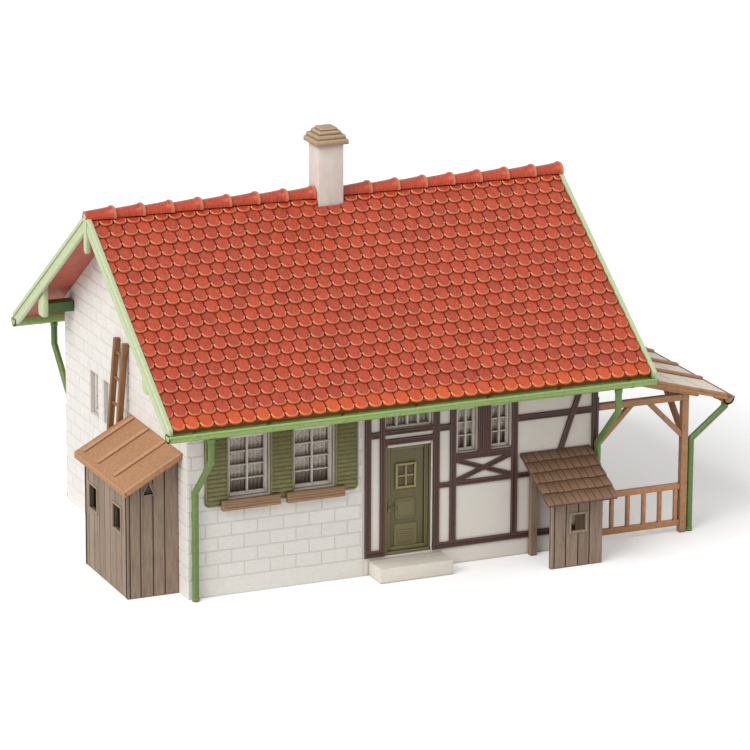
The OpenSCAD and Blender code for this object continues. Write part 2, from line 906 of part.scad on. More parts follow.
module store_walls() {
    color("gray") from_corner() {
        difference() {
            along_x(store_x, store_l)
                polygon([[-store_w, 0], [store_t - store_w, 0],
                    [store_t - store_w, store_under(store_t - store_w)],
                    [-store_w, store_under(-store_w)]]);
            translate([store_x + store_window[0], -store_w - slip,
                store_window[1]])
                cube([store_window_size[0], store_t + 2 * slip,
                    store_window_size[1]]);
        }
        along_x(store_x + store_l - store_t, store_t)
            polygon([[-store_w + slip, 0], [-timber_t, 0],
                [-timber_t, store_under(-timber_t)],
                [-store_w + slip, store_under(-store_w + slip)]]);
        along_x(store_x, store_post)
            polygon([[-timber_t - store_post, 0], [-timber_t, 0],
                [-timber_t, store_under(-timber_t)],
                [-timber_t - store_post,
                    store_under(-timber_t - store_post)]]);
    }
}

module store_roof() {
    y1 = -store_w - store_reach[1];
    color("dimgray") from_corner()
        along_x(store_x - store_reach[0], store_l + 2 * store_reach[0])
            polygon([[y1, store_under(y1)],
                [-timber_t, store_under(-timber_t)],
                [-timber_t, store_top(-timber_t)],
                [y1, store_top(y1)]]);
}

module canopy_posts() {
    color("peru") from_corner()
        for (y = [0, house_w - canopy_post])
            translate([post_x0, y, 0])
                cube([canopy_post, canopy_post, beam_z]);
}

module canopy_beams() {
    color("peru") from_corner()
        for (y = beam_y)
            translate([canopy_x0, y, beam_z])
                cube([post_x0 - canopy_x0, beam_w, beam_h]);
}

module canopy_eave_beam() {
    color("peru") from_corner()
        along_y(0, house_w)
            polygon([[post_x0, beam_z], [post_x0 + canopy_post, beam_z],
                [post_x0 + canopy_post,
                    rafter_under(post_x0 + canopy_post)],
                [post_x0, rafter_under(post_x0)]]);
}

// Outline of a brace in the corner at the origin, under a beam
module brace_outline() {
    s = brace_w * sqrt(2);
    polygon([[0, -brace_run], [brace_run, 0], [brace_run - s, 0],
        [0, s - brace_run]]);
}

module canopy_braces() {
    color("peru") from_corner() {
        for (y = beam_y) {
            along_y(y, beam_w) translate([canopy_x0, beam_z])
                brace_outline();
            along_y(y, beam_w) translate([post_x0, beam_z])
                mirror([1, 0]) brace_outline();
        }
        along_x(post_x0 + beam_y[0], beam_w)
            translate([canopy_post, beam_z])
                brace_outline();
        along_x(post_x0 + beam_y[0], beam_w)
            translate([house_w - canopy_post, beam_z])
                mirror([1, 0]) brace_outline();
    }
}

module canopy_rafters() {
    x1 = house_l + canopy_l + rafter_reach;
    color("peru") from_corner()
        for (i = [0 : rafters - 1])
            along_y((house_w - rafter_w) * i / (rafters - 1), rafter_w)
                polygon([[canopy_x0, rafter_under(canopy_x0)],
                    [x1, rafter_under(x1)], [x1, canopy_under(x1)],
                    [canopy_x0, canopy_under(canopy_x0)]]);
}

module canopy_roof() {
    color("burlywood") from_corner()
        along_y(-canopy_lip, house_w + 2 * canopy_lip)
            polygon([[canopy_x0, canopy_under(canopy_x0)],
                [canopy_eave_x, canopy_under(canopy_eave_x)],
                [canopy_eave_x, canopy_top(canopy_eave_x)],
                [canopy_x0, canopy_top(canopy_x0)]]);
}

module canopy_railing() {
    bay = (post_x0 - canopy_x0 - baluster_w) / balusters;
    y = (canopy_post - rail_size[1]) / 2;
    color("peru") from_corner() {
        for (z = rail_z)
            translate([canopy_x0, y, z])
                cube([post_x0 - canopy_x0, rail_size[1], rail_size[0]]);
        for (i = [1 : balusters])
            translate([canopy_x0 + bay * i,
                (canopy_post - baluster_w) / 2, rail_z[0]])
                cube([baluster_w, baluster_w,
                    rail_z[1] - rail_z[0] + rail_size[0] / 2]);
    }
}

module canopy_gutter() {
    len = house_w + 2 * canopy_lip;
    color("sienna") from_corner()
        translate([canopy_gutter_x, 0, canopy_gutter_z]) {
            along_y(-canopy_lip, len) difference() {
                half_disc(canopy_gutter_r);
                circle(canopy_gutter_r - gutter_t);
            }
            for (y = [-canopy_lip, len - canopy_lip - gutter_t])
                along_y(y, gutter_t) half_disc(canopy_gutter_r);
        }
}

module canopy_downpipe() {
    x1 = house_l + canopy_l + pipe_gap / 2 + pipe_r;
    z1 = canopy_gutter_z - canopy_gutter_r - pipe_r;
    z2 = z1 - (canopy_gutter_x - x1) * 0.8;
    y = canopy_post / 2;
    color("olivedrab") from_corner() {
        rod([canopy_gutter_x, y, z1], [x1, y, z2], pipe_r);
        translate([x1, y, 0]) cylinder(h = z2, r = pipe_r);
    }
}

floor_plate();
front_masonry_wall();
front_framed_wall();
left_gable_wall();
right_gable_wall();
rear_wall();
front_timber_frame();
right_timber_frame();
front_roof_slope();
rear_roof_slope();
ridge_capping();
left_bargeboards();
right_bargeboards();
gable_pendants();
purlin_ends();
front_gutter();
rear_gutter();
house_downpipes();
chimney_shaft();
chimney_cap();
front_door();
door_frame();
transom_window();
door_step();
front_windows();
gable_windows();
rear_windows();
window_panes();
shutters();
window_boxes();
shed_side_wall();
shed_end_walls();
shed_roof();
ladder();
store_walls();
store_roof();
canopy_posts();
canopy_beams();
canopy_eave_beam();
canopy_braces();
canopy_rafters();
canopy_roof();
canopy_railing();
canopy_gutter();
canopy_downpipe();
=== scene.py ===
import math
import random

import bmesh
import bpy
from mathutils import Matrix, Vector


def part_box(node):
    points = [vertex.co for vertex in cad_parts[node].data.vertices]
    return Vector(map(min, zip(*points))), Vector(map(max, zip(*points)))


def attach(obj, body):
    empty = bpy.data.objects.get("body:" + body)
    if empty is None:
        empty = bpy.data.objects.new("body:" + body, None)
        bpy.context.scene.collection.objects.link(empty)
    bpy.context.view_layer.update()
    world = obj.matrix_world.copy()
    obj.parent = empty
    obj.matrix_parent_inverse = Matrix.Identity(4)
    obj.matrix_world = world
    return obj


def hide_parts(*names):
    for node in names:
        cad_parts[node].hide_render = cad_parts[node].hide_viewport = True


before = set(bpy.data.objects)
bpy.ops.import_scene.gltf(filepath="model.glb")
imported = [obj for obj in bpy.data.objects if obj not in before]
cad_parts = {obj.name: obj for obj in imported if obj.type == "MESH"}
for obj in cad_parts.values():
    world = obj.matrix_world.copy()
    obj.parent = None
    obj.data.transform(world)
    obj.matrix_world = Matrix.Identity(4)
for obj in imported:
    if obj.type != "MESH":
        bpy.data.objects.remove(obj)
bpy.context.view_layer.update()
random.seed(87)

# Studio
# The model stands on a plain pale table in a light tent. A broad lamp high at
# the left front models the relief, and a faint one lights the right.
mm = 0.001
scene = bpy.context.scene
scene.view_settings.view_transform = "Standard"

camera_place = Vector((-354.9, -838.3, 299.4)) * mm
camera_turn, camera_tilt, camera_roll = (math.radians(a) for a in (-23.666, 16.384, 0.283))
back = Vector((math.sin(camera_turn) * math.cos(camera_tilt),
               -math.cos(camera_turn) * math.cos(camera_tilt), math.sin(camera_tilt)))
level = Vector((0, 0, 1)).cross(back).normalized()
upward = back.cross(level)
right = math.cos(camera_roll) * level + math.sin(camera_roll) * upward
upward = back.cross(right)
camera = bpy.data.objects.new("camera", bpy.data.cameras.new("camera"))
camera.matrix_world = Matrix.Translation(camera_place) @ Matrix((right, upward, back)).transposed().to_4x4()
camera.data.lens = 207.5
camera.data.shift_x = -0.0061
camera.data.shift_y = 0.0118
scene.collection.objects.link(camera)
scene.camera = camera


def paint(r, g, b):
    """A colour as it looks on a screen, turned to the shader's linear scale."""
    def linear(c):
        return c / 12.92 if c < 0.04 else ((c + 0.055) / 1.055) ** 2.4
    return (linear(r / 255), linear(g / 255), linear(b / 255), 1)


def lamp(name, strength, spread, turn, height):
    """A broad soft lamp: turn is measured from the front towards the right."""
    light = bpy.data.lights.new(name, "SUN")
    light.energy = strength
    light.angle = math.radians(spread)
    holder = bpy.data.objects.new(name, light)
    holder.rotation_euler = (math.radians(90 - height), 0, math.radians(turn))
    scene.collection.objects.link(holder)


lamp("key_lamp", 2.25, 42, -66, 42)
lamp("side_lamp", 0.25, 60, 40, 30)


def math_node(tree, operation, *values, clamp=False):
    """A maths node's result, its inputs fed in order by sockets or plain numbers."""
    node = tree.nodes.new("ShaderNodeMath")
    node.operation = operation
    node.use_clamp = clamp
    for slot, value in zip(node.inputs, values):
        if isinstance(value, (int, float)):
            slot.default_value = value
        else:
            tree.links.new(value, slot)
    return node.outputs[0]


def seen_directly(tree):
    """1 for a ray from the eye, a mirror or a pane, and 0 for the light's own rays."""
    path = tree.nodes.new("ShaderNodeLightPath").outputs
    seen = math_node(tree, "MAXIMUM", path["Is Camera Ray"], path["Is Glossy Ray"])
    return math_node(tree, "MAXIMUM", seen, path["Is Transmission Ray"])


world = bpy.data.worlds.new("light_tent")
world.use_nodes = True
scene.world = world
tent = world.node_tree
strength = tent.nodes.new("ShaderNodeMapRange")
strength.inputs["To Min"].default_value = 0.42
strength.inputs["To Max"].default_value = 1
tent.links.new(seen_directly(tent), strength.inputs["Value"])
tent.links.new(strength.outputs[0], tent.nodes["Background"].inputs["Strength"])
tent.nodes["Background"].inputs["Color"].default_value = (1, 1, 1, 1)

table_reach = 4
table_mesh = bpy.data.meshes.new("table")
table_mesh.from_pydata([(x * table_reach, y * table_reach, -0.00002)
                        for x, y in ((-1, -1), (1, -1), (1, 1), (-1, 1))], [], [(0, 1, 2, 3)])
table = bpy.data.objects.new("table", table_mesh)
scene.collection.objects.link(table)
table_paint = bpy.data.materials.new("table_white")
table_paint.use_nodes = True
table_tree = table_paint.node_tree
coat = table_tree.nodes["Principled BSDF"]
coat.inputs["Base Color"].default_value = (0.9, 0.9, 0.9, 1)
coat.inputs["Roughness"].default_value = 0.9
coat.inputs["Specular IOR Level"].default_value = 0.1
coat.inputs["Emission Color"].default_value = (1, 1, 1, 1)
table_tree.links.new(math_node(table_tree, "MULTIPLY", seen_directly(table_tree), 0.26),
                     coat.inputs["Emission Strength"])
table_mesh.materials.append(table_paint)

# Masonry walls and floor plate
# Polystyrene wall mouldings are glued round a floor plate. The left part of
# the front, the left gable and the rear carry shallow blocks laid in running
# bond over a smooth plinth.
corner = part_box("front_masonry_wall")[0]
house_l = (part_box("rear_wall")[1].x - corner.x) / mm
house_w = (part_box("rear_wall")[1].y - corner.y) / mm
masonry_l = (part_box("front_masonry_wall")[1].x - corner.x) / mm
wall_h = 47.2
roof_pitch = math.radians(35)
plinth_h = 4
block_l, block_h, block_t = 5.88, 3.03, 0.1
joint_w = 0.22


class Shape:
    """Faces gathered in millimetres from the walls' left front corner."""

    def __init__(self):
        self.verts, self.faces, self.tone, self.rim = [], [], [], []

    def add(self, verts, faces, tone=None, rim=None):
        first = len(self.verts)
        self.verts += [Vector(v) for v in verts]
        self.faces += [tuple(i + first for i in face) for face in faces]
        self.tone += [random.random() if tone is None else tone] * len(verts)
        self.rim += rim or [0] * len(verts)

    def rings(self, rings, closed=True, tone=None, rim=None):
        """Skin over a row of rings, with a cap at each end if closed."""
        n = len(rings[0])
        faces = [(k * n + i, k * n + (i + 1) % n, (k + 1) * n + (i + 1) % n, (k + 1) * n + i)
                 for k in range(len(rings) - 1) for i in range(n)]
        if closed:
            faces += [tuple(range(n)), tuple(range((len(rings) - 1) * n, len(rings) * n))]
        self.add([p for ring in rings for p in ring], faces, tone, rim)

    def plate(self, outline, place, low, high, chamfer=0.0, tone=None):
        """A plate of an outline in a wall's plane, with a chamfered outer edge."""
        rings = [[place(u, v, low) for u, v in outline]]
        # The chamfer, and more faintly the face, take the rim colour: in most finishes a painted highlight.
        rim = [0.0] * len(outline)
        if chamfer:
            rings.append([place(u, v, high - chamfer) for u, v in outline])
            outline = inset(outline, chamfer)
            rim += [0.7] * len(outline)
        rings.append([place(u, v, high) for u, v in outline])
        self.rings(rings, tone=tone, rim=rim + [0.25 if chamfer else 0.0] * len(outline))

    def moulding(self, outline, place, low, high, edge, groove, sink, tone=None):
        """A plate whose face is sunk a little inside a raised margin."""
        # The margin's rings take the rim colour, in most finishes a painted highlight.
        rings, rim = [[place(u, v, low) for u, v in outline]], [0.0] * len(outline)
        for share, w, pale in ((0.0, high - edge, 0.3), (edge, high, 1.0), (groove, high, 0.5),
                               (groove + 0.1, high - sink, 0.0)):
            rings.append([place(u, v, w) for u, v in inset(outline, share)])
            rim += [pale] * len(outline)
        self.rings(rings, tone=tone, rim=rim)

    def box(self, low, high, tone=None):
        (x0, y0, z0), (x1, y1, z1) = low, high
        self.rings([[(x0, y0, z), (x1, y0, z), (x1, y1, z), (x0, y1, z)] for z in (z0, z1)], tone=tone)

    def sweep(self, profile, path, side, tone=None):
        """A profile drawn along a path with mitred corners. side is its first axis."""
        path = [Vector(p) for p in path]
        way = [(b - a).normalized() for a, b in zip(path, path[1:])]
        across = Vector(side)
        across = (across - across.dot(way[0]) * way[0]).normalized()
        over = way[0].cross(across)
        ring = [path[0] + across * a + over * b for a, b in profile]
        rings = [ring]
        for k in range(1, len(path)):
            flat = way[k - 1] + way[k] if k < len(way) else way[k - 1]
            ring = [p + way[k - 1] * ((path[k] - p).dot(flat) / way[k - 1].dot(flat)) for p in ring]
            rings.append(ring)
        self.rings(rings, tone=tone)


def inset(outline, d):
    """The outline moved inwards by d."""
    points = [Vector(p) for p in outline]
    area = sum(a.x * b.y - a.y * b.x for a, b in zip(points, points[1:] + points[:1]))
    turn = 1 if area > 0 else -1
    moved = []
    for before, point, after in zip(points[-1:] + points[:-1], points, points[1:] + points[:1]):
        a, b = (point - before).normalized(), (after - point).normalized()
        na, nb = Vector((-a.y, a.x)) * turn, Vector((-b.y, b.x)) * turn
        moved.append(point + (na + nb) * d / (1 + na.dot(nb)))
    return moved


def clip(outline, nu, nv, most):
    """The part of a convex outline where nu * u + nv * v is at most this."""
    kept = []
    for a, b in zip(outline, outline[1:] + outline[:1]):
        da, db = nu * a[0] + nv * a[1] - most, nu * b[0] + nv * b[1] - most
        if da <= 0:
            kept.append(a)
        if da * db < 0:
            t = da / (da - db)
            kept.append((a[0] + (b[0] - a[0]) * t, a[1] + (b[1] - a[1]) * t))
    return kept


def around(rect, holes):
    """The rectangles that are left of one when holes are cut out of it."""
    left = [rect]
    for hu0, hv0, hu1, hv1 in holes:
        rest = []
        for u0, v0, u1, v1 in left:
            if hu0 >= u1 or hu1 <= u0 or hv0 >= v1 or hv1 <= v0:
                rest.append((u0, v0, u1, v1))
                continue
            rest += [(u0, v0, min(hu0, u1), v1)] if hu0 > u0 else []
            rest += [(max(hu1, u0), v0, u1, v1)] if hu1 < u1 else []
            a, b = max(u0, hu0), min(u1, hu1)
            rest += [(a, v0, b, hv0)] if hv0 > v0 else []
            rest += [(a, hv1, b, v1)] if hv1 < v1 else []
        left = rest
    return left


def rectangle(u0, v0, u1, v1):
    return [(u0, v0), (u1, v0), (u1, v1), (u0, v1)]


def make(name, shape, material, edge=0.0, sharp=35):
    """A piece from a shape, its edges rounded by a bevel of this width."""
    mesh = bpy.data.meshes.new(name)
    mesh.from_pydata([corner + v * mm for v in shape.verts], [], shape.faces)
    for title, values in (("tone", shape.tone), ("rim", shape.rim)):
        mesh.attributes.new(title, "FLOAT", "POINT").data.foreach_set("value", values)
    tidy = bmesh.new()
    tidy.from_mesh(mesh)
    bmesh.ops.recalc_face_normals(tidy, faces=tidy.faces)
    tidy.to_mesh(mesh)
    tidy.free()
    piece = bpy.data.objects.new(name, mesh)
    scene.collection.objects.link(piece)
    if edge:
        bevel = piece.modifiers.new("edge", "BEVEL")
        bevel.width = edge * mm
        bevel.segments = 2
        bevel.angle_limit = math.radians(40)
        worked = piece.evaluated_get(bpy.context.evaluated_depsgraph_get())
        piece.data = bpy.data.meshes.new_from_object(worked)
        piece.modifiers.clear()
    piece.data.shade_smooth()
    piece.data.set_sharp_from_angle(angle=math.radians(sharp))
    piece.data.materials.clear()
    piece.data.materials.append(material)
    return piece


def on_front(u, v, w):
    return (u, -w, v)


def on_rear(u, v, w):
    return (u, house_w + w, v)


def on_left(u, v, w):
    return (-w, u, v)


def on_right(u, v, w):
    return (house_l + w, u, v)


def mix_node(tree, share, a, b):
    """A colour between two others."""
    node = tree.nodes.new("ShaderNodeMix")
    node.data_type = "RGBA"
    for title, value in (("Factor", share), ("A", a), ("B", b)):
        tree.links.new(value, node.inputs[title])
    return node.outputs["Result"]


def grain_group():
    """Moulded colour that varies between two tones, and the height of its grain."""
    group = bpy.data.node_groups.new("moulded_grain", "ShaderNodeTree")
    for title, kind in (("Stretch", "NodeSocketVector"), ("Scale", "NodeSocketFloat"),
                        ("Light", "NodeSocketColor"), ("Dark", "NodeSocketColor"),
                        ("Contrast", "NodeSocketFloat"), ("Tone", "NodeSocketFloat")):
        group.interface.new_socket(title, in_out="INPUT", socket_type=kind)
    group.interface.new_socket("Color", in_out="OUTPUT", socket_type="NodeSocketColor")
    group.interface.new_socket("Height", in_out="OUTPUT", socket_type="NodeSocketFloat")
    nodes, links = group.nodes, group.links
    inside, outside = nodes.new("NodeGroupInput"), nodes.new("NodeGroupOutput")
    place = nodes.new("ShaderNodeTexCoord")
    stretched = nodes.new("ShaderNodeVectorMath")
    stretched.operation = "MULTIPLY"
    links.new(place.outputs["Object"], stretched.inputs[0])
    links.new(inside.outputs["Stretch"], stretched.inputs[1])
    noise = nodes.new("ShaderNodeTexNoise")
    noise.inputs["Detail"].default_value = 5
    noise.inputs["Roughness"].default_value = 0.62
    links.new(stretched.outputs[0], noise.inputs["Vector"])
    links.new(inside.outputs["Scale"], noise.inputs["Scale"])
    tone = nodes.new("ShaderNodeAttribute")
    tone.attribute_name = "tone"
    shift = math_node(group, "SUBTRACT", tone.outputs["Fac"], 0.5)
    shift = math_node(group, "MULTIPLY", shift, inside.outputs["Tone"])
    spread = math_node(group, "SUBTRACT", noise.outputs["Fac"], 0.5)
    spread = math_node(group, "MULTIPLY_ADD", spread, inside.outputs["Contrast"], 0.5)
    share = math_node(group, "ADD", spread, shift, clamp=True)
    colour = mix_node(group, share, inside.outputs["Dark"], inside.outputs["Light"])
    links.new(colour, outside.inputs["Color"])
    links.new(noise.outputs["Fac"], outside.inputs["Height"])
    return group


def edge_group():
    """Painted shade in the hollows, found by occlusion, and a rim colour along marked rims, in most finishes
    a painted highlight.
    """
    group = bpy.data.node_groups.new("hollow_shade_and_rims", "ShaderNodeTree")
    for title, kind in (("Color", "NodeSocketColor"), ("Hollow Shade", "NodeSocketColor"),
                        ("Hollow Shade Share", "NodeSocketFloat"), ("Reach", "NodeSocketFloat"),
                        ("Rim", "NodeSocketColor"), ("Rim Share", "NodeSocketFloat")):
        group.interface.new_socket(title, in_out="INPUT", socket_type=kind)
    group.interface.new_socket("Color", in_out="OUTPUT", socket_type="NodeSocketColor")
    nodes, links = group.nodes, group.links
    inside, outside = nodes.new("NodeGroupInput"), nodes.new("NodeGroupOutput")
    # Painted shade: occlusion darkens hollows, joints and the gaps between parts towards the hollow shade
    # colour.
    hollow = nodes.new("ShaderNodeAmbientOcclusion")
    hollow.samples = 4
    links.new(inside.outputs["Reach"], hollow.inputs["Distance"])
    depth = nodes.new("ShaderNodeMapRange")
    depth.inputs["From Min"].default_value = 0.95
    depth.inputs["From Max"].default_value = 0.35
    links.new(hollow.outputs["AO"], depth.inputs["Value"])
    hollow_shade = math_node(group, "MULTIPLY", depth.outputs[0], inside.outputs["Hollow Shade Share"])
    # The rim colour, mixed in by the rim mark, is in most finishes a painted highlight along edges.
    rim = nodes.new("ShaderNodeAttribute")
    rim.attribute_name = "rim"
    rim_light_and_shade = math_node(group, "MULTIPLY", rim.outputs["Fac"], inside.outputs["Rim Share"])
    paler = mix_node(group, rim_light_and_shade, inside.outputs["Color"], inside.outputs["Rim"])
    links.new(mix_node(group, hollow_shade, paler, inside.outputs["Hollow Shade"]), outside.inputs["Color"])
    return group


moulded_grain = grain_group()
hollow_shade_and_rims = edge_group()


def plastic(name, light, dark, hollow_shade, stretch=(1, 1, 1), scale=1500, contrast=1.6, tone=0.3,
            relief=0.02, roughness=0.5, hollow_shade_share=0.7, reach=0.45, rim=None, rim_share=0.0):
    """A moulded plastic: two tones, painted shade in its hollows, a rim colour that is mostly a painted
    highlight, and a fine grain.
    """
    material = bpy.data.materials.new(name)
    material.use_nodes = True
    nodes, links = material.node_tree.nodes, material.node_tree.links
    shader = nodes["Principled BSDF"]
    shader.inputs["Roughness"].default_value = roughness
    grain = nodes.new("ShaderNodeGroup")
    grain.node_tree = moulded_grain
    for title, value in (("Stretch", stretch), ("Scale", scale), ("Light", light), ("Dark", dark),
                         ("Contrast", contrast), ("Tone", tone)):
        grain.inputs[title].default_value = value
    edges = nodes.new("ShaderNodeGroup")
    edges.node_tree = hollow_shade_and_rims
    for title, value in (("Hollow Shade", hollow_shade), ("Hollow Shade Share", hollow_shade_share), ("Reach", reach * mm),
                         ("Rim", rim or light), ("Rim Share", rim_share)):
        edges.inputs[title].default_value = value
    links.new(grain.outputs["Color"], edges.inputs["Color"])
    links.new(edges.outputs["Color"], shader.inputs["Base Color"])
    bump = nodes.new("ShaderNodeBump")
    bump.inputs["Distance"].default_value = relief * mm
    links.new(grain.outputs["Height"], bump.inputs["Height"])
    links.new(bump.outputs["Normal"], shader.inputs["Normal"])
    return material


def finish_node(name, material):
    """Gives a CAD piece its finish."""
    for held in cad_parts[name].material_slots:
        held.material = material


block_white = plastic("block_white", paint(238, 234, 228), paint(224, 219, 212), paint(190, 184, 178),
                      stretch=(1, 1, 2.2), scale=900, relief=0.06, roughness=0.6, tone=0.35)
joint_grey = plastic("joint_grey", paint(226, 222, 216), paint(214, 209, 203), paint(185, 179, 173),
                     scale=1400, relief=0.03, roughness=0.7)
for name in ("floor_plate", "front_masonry_wall", "left_gable_wall", "rear_wall"):
    finish_node(name, joint_grey)

masonry_window_x, masonry_window_w = (9.1, 23.8), 9.4
rear_window_x = (14, 43, 72)
sill_z, high_sill_z, window_head_z = 21.2, 24.9, 34.6
gable_window_y, gable_window_w = (45.2, 53.6), 5


def lay_blocks(shape, place, length, holes, limits):
    """Blocks in running bond over a plinth, cut round the holes and to the limits."""
    for course in range(int(44 / math.tan(roof_pitch) / block_h) + 4):
        v0 = plinth_h + course * block_h
        start = 0.95 - block_l if course % 2 == 0 else 3.95 - block_l
        for k in range(int(length / block_l) + 3):
            u0 = start + k * block_l
            span = (max(u0, 0), v0, min(u0 + block_l, length), v0 + block_h)
            if span[2] - span[0] < joint_w * 2:
                continue
            for rect in around(span, holes):
                outline = rectangle(*rect)
                for limit in limits:
                    outline = clip(outline, *limit)
                if len(outline) > 2 and rect[2] - rect[0] > 0.5 and rect[3] - rect[1] > 0.5:
                    sides = [(Vector(a) - Vector(b)).length
                             for a, b in zip(outline, outline[1:] + outline[:1])]
                    if min(sides) > joint_w * 2:
                        shape.plate(inset(outline, joint_w / 2), place, -0.1, block_t, 0.08)
    shape.plate(rectangle(0, 0, length, plinth_h - joint_w / 2), place, -0.1, block_t * 0.8, 0.08)


def openings(starts, width, sill):
    """The windows' openings, each with the gap that the blocks keep from them."""
    return [(u - reveal_gap, sill - reveal_gap, u + width + reveal_gap, window_head_z + reveal_gap)
            for u in starts]


reveal_gap = 0.1
roof_slope = math.tan(roof_pitch)
under_eave = [(0, 1, wall_h - 0.2)]
under_verges = [(-roof_slope, 1, wall_h - 0.2), (roof_slope, 1, wall_h - 0.2 + house_w * roof_slope)]

front_blocks = Shape()
lay_blocks(front_blocks, on_front, masonry_l - 0.4,
           openings(masonry_window_x, masonry_window_w, sill_z), under_eave)
front_blockwork = make("front_blockwork", front_blocks, block_white)
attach(front_blockwork, "root")

left_blocks = Shape()
lay_blocks(left_blocks, on_left, house_w,
           openings(gable_window_y, gable_window_w, high_sill_z), under_verges)
left_blockwork = make("left_blockwork", left_blocks, block_white)
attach(left_blockwork, "root")

rear_blocks = Shape()
lay_blocks(rear_blocks, on_rear, house_l,
           openings(rear_window_x, masonry_window_w, sill_z), under_eave)
rear_blockwork = make("rear_blockwork", rear_blocks, block_white)
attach(rear_blockwork, "root")

# Plaster panels and timber framing
# The timbered walls are smooth white panels. The framing is a thin dark brown
# moulding laid on them, its posts running through and its rails cut between.
timber_t = 0.4
post_w = 1.4
front_posts = (masonry_l, 43.7, 56.1, 60, 74.5, 93.6)
sill_beam, mid_rail, window_rail = (3.9, 5.3), (17.6, 18.7), (23.3, 24.8)
upper_rail, head_rail = (30.3, 31.7), (35, 36.5)
timber_top = wall_h - 3
door_x, door_w, door_sill, door_h = 44.8, 11.2, 3.9, 24.7
door_head = door_sill + door_h
transom_z, transom_h = door_head + 3.2, 3.4
casement_x, casement_w = (61.8, 69.7), 4.6

plaster_white = plastic("plaster_white", paint(236, 231, 222), paint(227, 221, 211), paint(140, 124, 110),
                        scale=500, contrast=0.8, relief=0.04, roughness=0.6, tone=0.1, hollow_shade_share=0.6,
                        reach=0.7)
timber_brown = plastic("timber_brown", paint(80, 48, 41), paint(54, 31, 27), paint(20, 10, 8),
                       scale=1600, contrast=1.8, relief=0.05, roughness=0.5,
                       rim=paint(122, 86, 74), rim_share=0.5, tone=0.4)
for name in ("front_framed_wall", "right_gable_wall"):
    finish_node(name, plaster_white)


def timber(shape, place, u0, v0, u1, v1):
    """One timber with a raised margin along its edges."""
    shape.moulding(rectangle(u0, v0, u1, v1), place, -0.05, timber_t + 0.06, 0.1, 0.3, 0.14)


def brace(shape, place, a, b, width, panel, high):
    """A slanting timber between two points, cut to its panel."""
    a, b = Vector(a), Vector(b)
    way = (b - a).normalized()
    side = Vector((-way.y, way.x)) * width / 2
    outline = [tuple(p) for p in (a - side - way * 2, b - side + way * 2,
                                  b + side + way * 2, a + side - way * 2)]
    for limit in ((-1, 0, -panel[0]), (0, -1, -panel[1]), (1, 0, panel[2]), (0, 1, panel[3])):
        outline = clip(outline, *limit)
    shape.moulding(outline, place, -0.05, high, 0.08, 0.24, 0.1)


front_timbers = Shape()
for k, x in enumerate(front_posts):
    timber(front_timbers, on_front, x, sill_beam[1], door_x if k == 1 else x + post_w, timber_top)
timber(front_timbers, on_front, masonry_l, sill_beam[0], door_x, sill_beam[1])
timber(front_timbers, on_front, door_x + door_w, sill_beam[0], house_l, sill_beam[1])
between = [(front_posts[0] + post_w, front_posts[1]), (front_posts[2] + post_w, front_posts[3]),
           (front_posts[3] + post_w, front_posts[4]), (front_posts[4] + post_w, front_posts[5])]
for k, (x0, x1) in enumerate(between):
    if k > 0:
        timber(front_timbers, on_front, x0, mid_rail[0], x1, mid_rail[1])
    if k != 2:
        timber(front_timbers, on_front, x0, upper_rail[0], x1, upper_rail[1])
    timber(front_timbers, on_front, x0, head_rail[0], x1, head_rail[1])
timber(front_timbers, on_front, between[2][0], window_rail[0], between[2][1], window_rail[1])
timber(front_timbers, on_front, door_x, head_rail[0] + 0.3, door_x + door_w, head_rail[1])
timber(front_timbers, on_front, door_x, door_head, front_posts[2], door_head + 1.25)
timber(front_timbers, on_front, door_x, transom_z - 1.05, front_posts[2], transom_z)
middle_post = (casement_x[0] + casement_w, casement_x[1])
third = (middle_post[1] - middle_post[0] - 0.2) / 3
for k in range(3):
    timber(front_timbers, on_front, middle_post[0] + 0.1 + k * third, window_rail[1],
           middle_post[0] + 0.1 + (k + 1) * third - 0.05, head_rail[0])
x_panel = (between[2][0], mid_rail[1], between[2][1], window_rail[0])
brace(front_timbers, on_front, x_panel[:2], x_panel[2:], 1, x_panel, timber_t + 0.08)
brace(front_timbers, on_front, (x_panel[0], x_panel[3]), (x_panel[2], x_panel[1]), 1, x_panel, timber_t)
corner_panel = (between[3][0], mid_rail[1], between[3][1], head_rail[0])
corner_brace_x = (84.7, 90.4)
brace(front_timbers, on_front, (corner_brace_x[0], mid_rail[1]), (corner_brace_x[1], head_rail[0]),
      1.2, corner_panel, timber_t + 0.12)
front_framing = make("front_framing", front_timbers, timber_brown, edge=0.05)
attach(front_framing, "root")
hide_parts("front_timber_frame")

gable_posts = (0, 18, 43.8, 58.6, house_w - post_w)
gable_top = head_rail[0] - 1.5
right_timbers = Shape()
for y in gable_posts:
    timber(right_timbers, on_right, y, sill_beam[1], y + post_w, gable_top)
timber(right_timbers, on_right, 0, sill_beam[0], house_w, sill_beam[1])
for k, (a, b) in enumerate(zip(gable_posts, gable_posts[1:])):
    a += post_w
    timber(right_timbers, on_right, a, mid_rail[0], b, mid_rail[1])
    rail = window_rail if k == 2 else upper_rail
    timber(right_timbers, on_right, a, rail[0], b, rail[1])
timber(right_timbers, on_right, gable_window_y[0] + gable_window_w, window_rail[1],
       gable_window_y[1], gable_top)
brace(right_timbers, on_right, (2, upper_rail[0]), (17, mid_rail[1]), 1.2,
      (post_w, mid_rail[1], 18, upper_rail[0]), timber_t)
right_framing = make("right_framing", right_timbers, timber_brown, edge=0.05)
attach(right_framing, "root")
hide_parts("right_timber_frame")

